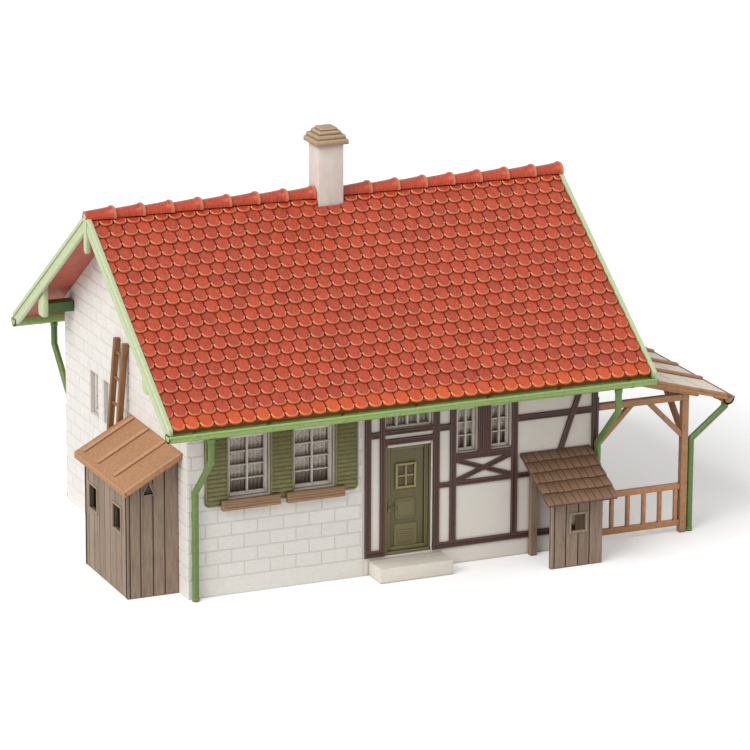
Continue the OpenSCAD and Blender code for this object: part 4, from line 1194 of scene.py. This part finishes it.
def shutter(shape, place, u0, v0, v1):
    """A shutter of wavy slats in a frame with round lower corners."""
    u1, r = u0 + shutter_w, 0.8
    outline = [(u0 + r, v0), (u1 - r, v0), (u1 - 0.25, v0 + 0.25), (u1, v0 + r), (u1, v1), (u0, v1),
               (u0, v0 + r), (u0 + 0.25, v0 + 0.25)]
    shape.plate(outline, place, 0.0, 0.36, 0.05, 0.2)
    for a, b in ((u0, u0 + 0.42), (u1 - 0.42, u1)):
        shape.plate(rectangle(a, v0 + r, b, v1), place, 0.3, 0.66, 0.1, 0.6)
    for a, b, inner in ((v0, v0 + 0.5, r), (v1 - 0.45, v1, 0.42)):
        shape.plate(rectangle(u0 + inner, a, u1 - inner, b), place, 0.3, 0.66, 0.1, 0.6)
    count = round((v1 - v0 - 1.2) / slat)
    pitch = (v1 - v0 - 1.1) / count
    steps = 5
    for k in range(count):
        low, high = v0 + 0.55 + k * pitch, v0 + 0.55 + (k + 1) * pitch - 0.2
        rings = []
        for i in range(steps + 1):
            u = u0 + 0.4 + (shutter_w - 0.8) * i / steps
            wave = 0.05 * math.sin(u * 1.9 + k * 2.1)
            rings.append([place(u, v + wave, w) for v, w in
                          ((low, 0.3), (low, 0.62), (low + 0.12, 0.7), (high, 0.42), (high, 0.3))])
        shape.rings(rings, tone=random.uniform(0.3, 0.8))


shutter_v = (sill_z - shutter_drop, window_head_z + shutter_lift)
front_shutter_x = (3.8, 18.55, 33.3)
for x in front_shutter_x:
    shutter(shutters, on_front, x, *shutter_v)
for x in rear_window_x:
    shutter(shutters, on_rear, x - shutter_gap - shutter_w, *shutter_v)
    shutter(shutters, on_rear, x + masonry_window_w + shutter_gap, *shutter_v)
shutter_set = make("slatted_shutters", shutters, shutter_olive, sharp=30)
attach(shutter_set, "root")
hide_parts("shutters")

box_l, box_t, box_v = 13.1, 1.2, (19.1, 21.3)
planters = Shape()
for x in masonry_window_x:
    u0 = x + masonry_window_w / 2 - box_l / 2
    planters.plate(rectangle(u0, box_v[0], u0 + box_l, box_v[1]), on_front, 0.7, 0.7 + box_t, 0.15, 0.5)
    planters.plate(rectangle(u0 + 0.3, box_v[0] + 0.25, u0 + box_l - 0.3, box_v[0] + 0.6), on_front,
                   0.65 + box_t, 0.85 + box_t, 0.08, 1.0)
    for k in range(2):
        board_v = box_v[0] + 0.85 + 0.6 * k
        planters.plate(rectangle(u0 + 0.2, board_v, u0 + box_l - 0.2, board_v + 0.45),
                       on_front, 0.65 + box_t, 0.8 + box_t, 0.1, 0.5)
box_brown = plastic("box_brown", paint(172, 136, 101), paint(130, 98, 68), paint(64, 44, 28),
                    stretch=(0.25, 1, 1.6), scale=1300, contrast=1.8, relief=0.05, roughness=0.55, tone=0.6)
window_boxes = make("planter_boxes", planters, box_brown, edge=0.05)
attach(window_boxes, "root")
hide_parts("window_boxes")

# Lean-to shed
# A board-clad shed stands against the left gable. Its upright boards show
# dark gaps, its two small windows have raised rims, and three battens hold
# the felt of its roof.
shed_l, shed_w, shed_y, shed_t = 26, 11.6, 5, 1
shed_ridge_z, shed_pitch, shed_roof_t = 31.6, math.radians(28.5), 1.1
shed_reach = (2.6, 2.4, 1.4)
shed_slope = math.tan(shed_pitch)
shed_windows = [(shed_y + y, 13.5, shed_y + y + 5.2, 19.1) for y in (3.5, 18.1)]
board_gap = 0.26

board_grey = plastic("board_grey", paint(154, 130, 109), paint(106, 86, 69), paint(26, 18, 12),
                     stretch=(1.4, 1.4, 0.16), scale=1300, contrast=2.0, relief=0.07, roughness=0.6,
                     reach=0.4, rim=paint(190, 174, 156), rim_share=0.5, tone=0.6)


def shed_under(x):
    return shed_ridge_z - shed_roof_t / math.cos(shed_pitch) - abs(x) * shed_slope


def on_shed_side(u, v, w):
    return (-shed_w - w, u, v)


def boards(shape, place, edges, foot, top, holes, depth, short=(0, 0)):
    """Upright boards between the given edges, on a lining set back behind them.
    The lining stops short at either end where another wall closes the corner."""
    for u0, v0, u1, v1 in around((edges[0] + short[0], foot, edges[-1] - short[1],
                                  max(top(edges[0]), top(edges[-1]))), holes):
        outline = clip(rectangle(u0, v0, u1, v1), *slant(edges, top))
        if len(outline) > 2:
            shape.plate(outline, place, -depth, -0.3, tone=0.0)
    for a, b in zip(edges, edges[1:]):
        tone = random.random()
        inner = (a + (board_gap / 2 if a > edges[0] else 0), b - (board_gap / 2 if b < edges[-1] else 0))
        for u0, v0, u1, v1 in around((inner[0], foot, inner[1], max(top(a), top(b))), holes):
            outline = clip(rectangle(u0, v0, u1, v1), *slant(edges, top))
            if len(outline) > 2:
                shape.plate(outline, place, -0.35, 0.0, 0.07, tone)


def slant(edges, top):
    """The limit that keeps boards under a sloping roof."""
    rise = (top(edges[-1]) - top(edges[0])) / (edges[-1] - edges[0])
    return -rise, 1, top(edges[0]) - rise * edges[0]


shed_boards = Shape()
side_edges = (shed_y + 0.36, 8.5, 12.1, 15.4, 18.7, 22.0, 25.3, 28.5, shed_y + shed_l - 0.36)
boards(shed_boards, on_shed_side, side_edges, 0, lambda u: shed_under(shed_w),
       shed_windows, shed_t, (shed_t, shed_t))
for u0, v0, u1, v1 in shed_windows:
    bars(shed_boards, on_shed_side, u0 - 0.3, v0 - 0.3, u1 + 0.3, v1 + 0.3, 0.5, -0.2, 0.22, 0.12, 1.0)
shed_side = make("shed_side_boards", shed_boards, board_grey)
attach(shed_side, "root")
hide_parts("shed_side_wall")

end_boards = Shape()
end_edges = (-shed_w, -11.0, -8.6, -5.8, -3.2, 0)
vent = [(-8, 22.6), (-5.7, 22.6), (-6.8, 25)]
vent_top = vent[2][1]
for turn in (lambda w: shed_y - w, lambda w: shed_y + shed_l + w):
    holes = [vent[0] + (vent[1][0], vent_top)] if turn(1) < shed_y else []
    boards(end_boards, lambda u, v, w, t=turn: (u, t(w), v), end_edges, 0, shed_under, holes, shed_t)
for corner_cut in ([vent[0], vent[2], (vent[0][0], vent_top)],
                   [vent[2], vent[1], (vent[1][0], vent_top)]):
    end_boards.plate(corner_cut, lambda u, v, w: (u, shed_y - w, v), -shed_t, 0, tone=0.5)
for a, b in zip(vent, vent[1:] + vent[:1]):
    a, b = Vector(a), Vector(b)
    side = Vector((b.y - a.y, a.x - b.x)).normalized() * 0.3
    end_boards.plate([tuple(a), tuple(a + side), tuple(b + side), tuple(b)][::-1],
                     lambda u, v, w: (u, shed_y - w, v), -0.5, 0.18, 0.08, 1.0)
shed_ends = make("shed_end_boards", end_boards, board_grey)
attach(shed_ends, "root")
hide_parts("shed_end_walls")

felt_brown = plastic("felt_brown", paint(194, 147, 107), paint(156, 110, 76), paint(86, 54, 34),
                     scale=1900, contrast=2.2, relief=0.12, roughness=0.75,
                     rim=paint(226, 190, 156), rim_share=0.5, tone=0.4)
shed_x1, shed_y0 = -shed_w - shed_reach[2], shed_y - shed_reach[0]
shed_y1 = shed_y + shed_l + shed_reach[1]
shed_slope_l = -shed_x1 / math.cos(shed_pitch)
shed_batten_y = (11.7, 21.7, 30.5)


def on_shed_roof(u, v, w):
    c, s = math.cos(shed_pitch), math.sin(shed_pitch)
    return (shed_x1 + v * c - w * s, u, shed_ridge_z + shed_x1 * shed_slope + v * s + w * c)


def upright_slab(shape, a, b, under, over, y0, y1, tone=0.5):
    """A sloping slab between two stations, its ends upright."""
    shape.rings([[(a, y, under(a)), (b, y, under(b)), (b, y, over(b)), (a, y, over(a))] for y in (y0, y1)],
                tone=tone)


shed_felt = Shape()
upright_slab(shed_felt, shed_x1, 0, shed_under, lambda x: shed_ridge_z - abs(x) * shed_slope,
             shed_y0, shed_y1)
for y in shed_batten_y:
    shed_felt.plate(rectangle(y - 0.45, 1.4, y + 0.45, shed_slope_l - 0.5), on_shed_roof,
                    -0.1, 0.6, 0.18, 0.9)
shed_felt.plate(rectangle(shed_y0, 0, shed_y0 + 0.6, shed_slope_l - 0.3), on_shed_roof,
                -0.1, 0.22, 0.12, 1.0)
shed_felt.plate(rectangle(shed_y0, -0.12, shed_y1, 0.1), on_shed_roof, -1.0, 0.06, 0.05, 1.0)
shed_cover = make("shed_felt_roof", shed_felt, felt_brown, edge=0.06)
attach(shed_cover, "root")
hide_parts("shed_roof")

# Ladder
# A wooden ladder leans on the gable behind the shed. Its round rungs are let
# into square stiles, and their ends show on the outer sides.
ladder_h, ladder_lean, ladder_w, stile, rung_r, rung_pitch = 47, math.radians(5), 5.2, 1.2, 0.35, 5.6
ladder_y = shed_y1 + 0.3 + stile / 2
ladder_top_x = -0.8


def on_ladder(y, along, w):
    """A point on the ladder, measured down from its top."""
    return (ladder_top_x - along * math.sin(ladder_lean) - w * math.cos(ladder_lean),
            y, ladder_h - along * math.cos(ladder_lean) + w * math.sin(ladder_lean))


ladder_l = ladder_h / math.cos(ladder_lean)
rails = Shape()
half = stile / 2
for y in (ladder_y, ladder_y + ladder_w):
    steps = 10
    rings = []
    for k in range(steps + 1):
        along = ladder_l * k / steps
        slim = 0.06 * math.sin(k * 2.3 + y)
        rings.append([on_ladder(y - half, along, -half), on_ladder(y + half - max(0, slim), along, -half),
                      on_ladder(y + half - max(0, slim), along, half), on_ladder(y - half, along, half)])
    rails.rings(rings, tone=0.5)
for k in range(8):
    along = 3 + k * rung_pitch
    if along > ladder_l - 2:
        continue
    rails.sweep(round_bar(rung_r, 8),
                [on_ladder(ladder_y, along, 0), on_ladder(ladder_y + ladder_w, along, 0)],
                (0, 0, 1), tone=0.9)
    for y in (ladder_y - half, ladder_y + ladder_w + half):
        rails.sweep(round_bar(0.22, 6),
                    [on_ladder(y - 0.06, along, 0), on_ladder(y + 0.06, along, 0)], (0, 0, 1), tone=0.2)
ladder_brown = plastic("ladder_brown", paint(150, 104, 58), paint(108, 70, 36), paint(56, 34, 16),
                       stretch=(1, 1, 0.2), scale=1400, contrast=1.8, relief=0.06, roughness=0.55, tone=0.5)
wall_ladder = make("wall_ladder", rails, ladder_brown, edge=0.06)
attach(wall_ladder, "root")
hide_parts("ladder")

# Small store
# A little board-clad store stands at the front, open on its left, under a
# sloping roof of split shingles. A post stands against the house on its open
# side.
store_l, store_w, store_t, store_post = 12.2, 11.7, 1, 1.4
store_x = house_l - 4.1 - store_l
store_ridge_z, store_pitch = 23.6, math.radians(27.5)
store_reach = (2.2, 3.2)
store_slope = math.tan(store_pitch)


def store_top(y):
    return store_ridge_z + y * store_slope


def store_under(y):
    return store_top(y) - shed_roof_t / math.cos(store_pitch)


def on_store_front(u, v, w):
    return (u, -store_w - w, v)


store_boards = Shape()
store_front = (store_x, 79.5, 82.2, 85.1, 87.8, store_x + store_l)
store_hole = (store_x + 4.5, 7.9, store_x + 8.3, 11.9)
boards(store_boards, on_store_front, store_front, 0, lambda u: store_under(store_t - store_w),
       [store_hole], store_t)
bars(store_boards, on_store_front, store_hole[0] - 0.3, store_hole[1] - 0.3,
     store_hole[2] + 0.3, store_hole[3] + 0.3, 0.5, -0.2, 0.2, 0.1, 1.0)
store_side = tuple(0.36 - store_w + k * (store_w - timber_t - 0.36) / 4 for k in range(5))
boards(store_boards, lambda u, v, w: (store_x + store_l + w, u, v), store_side, 0, store_under,
       [], store_t, (store_t - 0.36, 0))
post_y = -timber_t - store_post
store_boards.rings([[(store_x + w, y, z) for y, z in
                     ((post_y, 0), (-timber_t, 0), (-timber_t, store_under(-timber_t)),
                      (post_y, store_under(post_y)))] for w in (0, store_post)], tone=0.8)
store_clad = make("store_boards", store_boards, board_grey)
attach(store_clad, "root")
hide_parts("store_walls")

store_x0, store_x1 = store_x - store_reach[0], store_x + store_l + store_reach[0]
store_y1 = -store_w - store_reach[1]
store_slope_l = (-store_y1 - timber_t) / math.cos(store_pitch)


def on_store_roof(u, v, w):
    c, s = math.cos(store_pitch), math.sin(store_pitch)
    return (u, store_y1 + v * c - w * s, store_top(store_y1) + v * s + w * c)


shingles = Shape()
shingles.plate(rectangle(store_x0 + 0.1, 0.15, store_x1 - 0.1, store_slope_l), on_store_roof,
               -1.08, -0.35, tone=0.2)
courses = 5
for row in range(courses):
    v = row * store_slope_l / courses
    reach = min(store_slope_l / courses + 0.5, store_slope_l - v)
    u = store_x0 + (0 if row % 2 else -0.7)
    while u < store_x1 - 0.3:
        width = random.uniform(1.3, 2.2)
        a, b = max(u + 0.05, store_x0), min(u + width - 0.05, store_x1)
        if store_x1 - b < 0.5:
            b = store_x1
        tail = v + random.uniform(0.0, 0.25) if row else v
        tone = random.random() * 0.7 + (0.3 if row == 0 else 0)
        low = [on_store_roof(a, tail, -0.42), on_store_roof(b, tail, -0.42),
               on_store_roof(b, v + reach, -0.5), on_store_roof(a, v + reach, -0.5)]
        high = [on_store_roof(a + 0.03, tail, 0.02), on_store_roof(b - 0.03, tail, 0.02),
                on_store_roof(b - 0.03, v + reach, -0.34), on_store_roof(a + 0.03, v + reach, -0.34)]
        # Each tail takes the rim colour, a painted highlight.
        shingles.rings([low, high], tone=tone, rim=[1, 1, 0, 0, 1, 1, 0, 0])
        u += width
        if b == store_x1:
            break
shingle_brown = plastic("shingle_brown", paint(116, 86, 64), paint(78, 55, 40), paint(34, 22, 14),
                        stretch=(1.6, 0.25, 0.25), scale=1500, contrast=2.0, relief=0.1, roughness=0.65,
                        reach=0.4, rim=paint(170, 134, 104), rim_share=0.5, tone=0.6)
store_cover = make("store_shingles", shingles, shingle_brown)
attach(store_cover, "root")
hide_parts("store_roof")

# Side canopy
# An open timber canopy leans on the right gable: two posts, beams with
# slanting braces, rafters under a felt roof held by battens, and a railing
# with square balusters at the front.
canopy_l, canopy_post, beam_w, beam_z, beam_h = 22.4, 1.6, 1.4, 30.3, 1.5
canopy_pitch, canopy_reach, brace_run, brace_t = math.radians(15.6), 8.7, 8.5, 1.1
rafter_h, rafter_w, rafter_reach, canopy_roof_t, rafters = 0.8, 1.3, 2.4, 1.3, 7
canopy_x0, post_x0 = house_l + timber_t, house_l + canopy_l - canopy_post
canopy_eave_x = house_l + canopy_l + canopy_reach
rail_pitch, baluster, rail_z = 3.9, 0.9, ((1.6, 3.0), (10, 11.4))

canopy_timber = plastic("canopy_timber", paint(190, 143, 104), paint(152, 106, 71), paint(74, 44, 26),
                        stretch=(0.5, 0.5, 0.5), scale=1500, contrast=1.6, relief=0.05, roughness=0.5,
                        rim=paint(220, 172, 134), rim_share=0.4, tone=0.5)


def rafter_under(x):
    return beam_z + beam_h + (post_x0 - x) * math.tan(canopy_pitch)


def canopy_under(x):
    return rafter_under(x) + rafter_h / math.cos(canopy_pitch)


def canopy_top(x):
    return canopy_under(x) + canopy_roof_t / math.cos(canopy_pitch)


def timber_bar(shape, low, high, tone=None):
    """A square timber with its long arrises taken off."""
    span = [b - a for a, b in zip(low, high)]
    axis = span.index(max(span))
    p, q = [k for k in range(3) if k != axis]
    c = 0.12
    ring = [(low[p] + c, low[q]), (high[p] - c, low[q]), (high[p], low[q] + c), (high[p], high[q] - c),
            (high[p] - c, high[q]), (low[p] + c, high[q]), (low[p], high[q] - c), (low[p], low[q] + c)]
    rings = []
    for end in (low[axis], high[axis]):
        points = []
        for a, b in ring:
            point = [0, 0, 0]
            point[axis], point[p], point[q] = end, a, b
            points.append(tuple(point))
        rings.append(points)
    shape.rings(rings, tone=tone)


post_set = Shape()
for y in (0, house_w - canopy_post):
    timber_bar(post_set, (post_x0, y, 0), (post_x0 + canopy_post, y + canopy_post, beam_z), 0.6)
    for side in (0.3, canopy_post - 0.45):
        post_set.box((post_x0 - 0.08, y + side, 1.2),
                     (post_x0 + canopy_post + 0.08, y + side + 0.15, beam_z - 1.2), tone=0.2)
canopy_posts = make("canopy_post_pair", post_set, canopy_timber, edge=0.05)
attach(canopy_posts, "root")
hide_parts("canopy_posts")

beam_y = ((canopy_post - beam_w) / 2, house_w - (canopy_post + beam_w) / 2)
beam_set = Shape()
for y in beam_y:
    timber_bar(beam_set, (canopy_x0, y, beam_z), (post_x0, y + beam_w, beam_z + beam_h), 0.5)
canopy_beams = make("canopy_side_beams", beam_set, canopy_timber, edge=0.05)
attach(canopy_beams, "root")
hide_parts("canopy_beams")

eave_beam = Shape()
eave_beam.rings([[(post_x0, y, beam_z), (post_x0 + canopy_post, y, beam_z),
                  (post_x0 + canopy_post, y, rafter_under(post_x0 + canopy_post)),
                  (post_x0, y, rafter_under(post_x0))] for y in (0, house_w)], tone=0.5)
canopy_eave = make("canopy_eaves_beam", eave_beam, canopy_timber, edge=0.08)
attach(canopy_eave, "root")
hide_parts("canopy_eave_beam")

knees = Shape()
slantwise = brace_t * math.sqrt(2)
knee = [(0, -brace_run), (brace_run, 0), (brace_run - slantwise, 0), (0, -brace_run + slantwise)]
for y in beam_y:
    knees.plate(knee, lambda u, v, w: (canopy_x0 + u, y + w, beam_z + v), 0.1, beam_w - 0.1, 0.12, 0.5)
    knees.plate(knee, lambda u, v, w: (post_x0 - u, y + w, beam_z + v), 0.1, beam_w - 0.1, 0.12, 0.5)
for start, way in ((canopy_post, 1), (house_w - canopy_post, -1)):
    knees.plate(knee, lambda u, v, w: (post_x0 + w, start + way * u, beam_z + v),
                0.2, canopy_post - 0.2, 0.12, 0.5)
canopy_knees = make("canopy_knee_braces", knees, canopy_timber, edge=0.05)
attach(canopy_knees, "root")
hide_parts("canopy_braces")

rafter_set = Shape()
rafter_x1 = house_l + canopy_l + rafter_reach
for k in range(rafters):
    y = (house_w - rafter_w) * k / (rafters - 1)
    outline = [(canopy_x0, rafter_under(canopy_x0)), (rafter_x1 - 0.5, rafter_under(rafter_x1 - 0.5)),
               (rafter_x1, rafter_under(rafter_x1) + 0.4), (rafter_x1, canopy_under(rafter_x1)),
               (canopy_x0, canopy_under(canopy_x0))]
    rafter_set.rings([[(x, y + w, z) for x, z in outline] for w in (0, rafter_w)],
                     tone=random.uniform(0.3, 0.8))
canopy_rafters = make("canopy_rafter_set", rafter_set, canopy_timber, edge=0.1)
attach(canopy_rafters, "root")
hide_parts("canopy_rafters")

railing = Shape()
for z0, z1 in rail_z:
    timber_bar(railing, (canopy_x0, 0.3, z0), (post_x0, 1.3, z1), 0.8)
for k in range(1, 6):
    x = canopy_x0 + rail_pitch * k
    timber_bar(railing, (x - baluster / 2, 0.35, 2.9), (x + baluster / 2, 1.25, 10.1),
               random.uniform(0.4, 1.0))
rail_orange = plastic("rail_orange", paint(198, 144, 98), paint(160, 108, 68), paint(86, 50, 26),
                      stretch=(0.5, 0.5, 0.5), scale=1500, contrast=1.6, relief=0.05, roughness=0.45,
                      tone=0.5)
canopy_railing = make("canopy_balustrade", railing, rail_orange, edge=0.05)
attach(canopy_railing, "root")
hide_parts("canopy_railing")

# The canopy's felt is light brown; its near-white colour is a painted reflection of the white surroundings,
# seen at a grazing angle, and its brown rim colour shows on the strips' edges.
canopy_felt = plastic("canopy_felt", paint(252, 244, 232), paint(232, 218, 198), paint(150, 124, 100),
                      scale=1800, contrast=2.0, relief=0.1, roughness=0.6,
                      rim=paint(170, 128, 92), rim_share=0.7, tone=0.4)
canopy_slope_l = (canopy_eave_x - canopy_x0) / math.cos(canopy_pitch)


def on_canopy(u, v, w):
    c, s = math.cos(canopy_pitch), math.sin(canopy_pitch)
    return (canopy_eave_x - v * c + w * s, u, canopy_top(canopy_eave_x) + v * s + w * c)


cover = Shape()
lip_y = (-1, house_w + 1)
upright_slab(cover, canopy_x0, canopy_eave_x, canopy_under, canopy_top, *lip_y)
for k in range(1, 5):
    v = canopy_slope_l * k / 5
    cover.plate(rectangle(lip_y[0] + 0.2, v - 0.12, lip_y[1] - 0.2, v + 0.12), on_canopy,
                -0.1, 0.08, 0.05, 0.8)
canopy_cover = make("canopy_felt_roof", cover, canopy_felt, edge=0.06)
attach(canopy_cover, "root")
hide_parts("canopy_roof")

fascia = Shape()
for y0, y1 in ((lip_y[0] - 0.14, lip_y[0] + 0.02), (lip_y[1] - 0.02, lip_y[1] + 0.14)):
    upright_slab(fascia, canopy_x0, canopy_eave_x, lambda x: canopy_under(x) - 0.02,
                 lambda x: canopy_under(x) + 0.66,
                 y0 - (0.12 if y0 < 0 else 0), y1 + (0.12 if y0 > 0 else 0))
    upright_slab(fascia, canopy_x0, canopy_eave_x, lambda x: canopy_under(x) + 0.6,
                 lambda x: canopy_top(x) + 0.06, y0, y1)
canopy_fascia = make("canopy_edge_boards", fascia, rail_orange, edge=0.05)
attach(canopy_fascia, "root")

battens, batten_pitch = Shape(), 11.8
for k in range(1, 7):
    y = lip_y[0] + k * batten_pitch
    battens.plate(rectangle(y - 0.6, 0.1, y + 0.6, canopy_slope_l - 0.4), on_canopy, -0.05, 0.7, 0.16, 0.3)
roof_battens = make("canopy_roof_battens", battens, canopy_timber, edge=0.05)
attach(roof_battens, "root")

canopy_gutter_r = 1.4
gutter_x, canopy_gutter_z = canopy_eave_x + 0.5, canopy_under(canopy_eave_x) + 0.1
channel = Shape()
section = half_round(canopy_gutter_r, gutter_t)
channel.rings([[(gutter_x - a, y, canopy_gutter_z + b) for a, b in section] for y in lip_y], tone=0.5)
end = arc(canopy_gutter_r, 180, 360)
for y in (lip_y[0], lip_y[1] - 0.4):
    channel.rings([[(gutter_x + a, y + w, canopy_gutter_z + b) for a, b in end] for w in (0, 0.4)],
                  tone=1.0)
for k in range(5):
    y = lip_y[0] + 5 + k * (house_w - 8) / 4
    channel.rings([[(gutter_x + a * 1.07, y + w, canopy_gutter_z + b * 1.07) for a, b in end]
                   for w in (0, 0.5)], tone=0.2)
gutter_brown = plastic("gutter_brown", paint(170, 126, 90), paint(124, 86, 58), paint(60, 36, 22),
                       scale=1300, relief=0.03, roughness=0.4, rim=paint(216, 180, 146), rim_share=0.5,
                       tone=0.5)
canopy_channel = make("canopy_eaves_gutter", channel, gutter_brown, edge=0.05, sharp=50)
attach(canopy_channel, "root")
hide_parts("canopy_gutter")

drain = Shape()
pipe_y, post_side_x = canopy_post / 2, post_x0 + canopy_post + pipe_r + 0.25
top_z, upper_bend_z, lower_bend_z = canopy_gutter_z - canopy_gutter_r + 0.25, 27.7, 21.2
drain.sweep(octagon, [(gutter_x, pipe_y, top_z), (gutter_x, pipe_y, upper_bend_z),
                      (post_side_x, pipe_y, lower_bend_z), (post_side_x, pipe_y, 0)], (0, 1, 0), tone=0.5)
ferrule(drain, (gutter_x, pipe_y), top_z - 1.0, top_z, 1.16)
ferrule(drain, (post_side_x, pipe_y), 0, 1.0, 1.14)
canopy_pipe = make("canopy_drainpipe", drain, pipe_green, edge=0.08, sharp=25)
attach(canopy_pipe, "root")
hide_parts("canopy_downpipe")
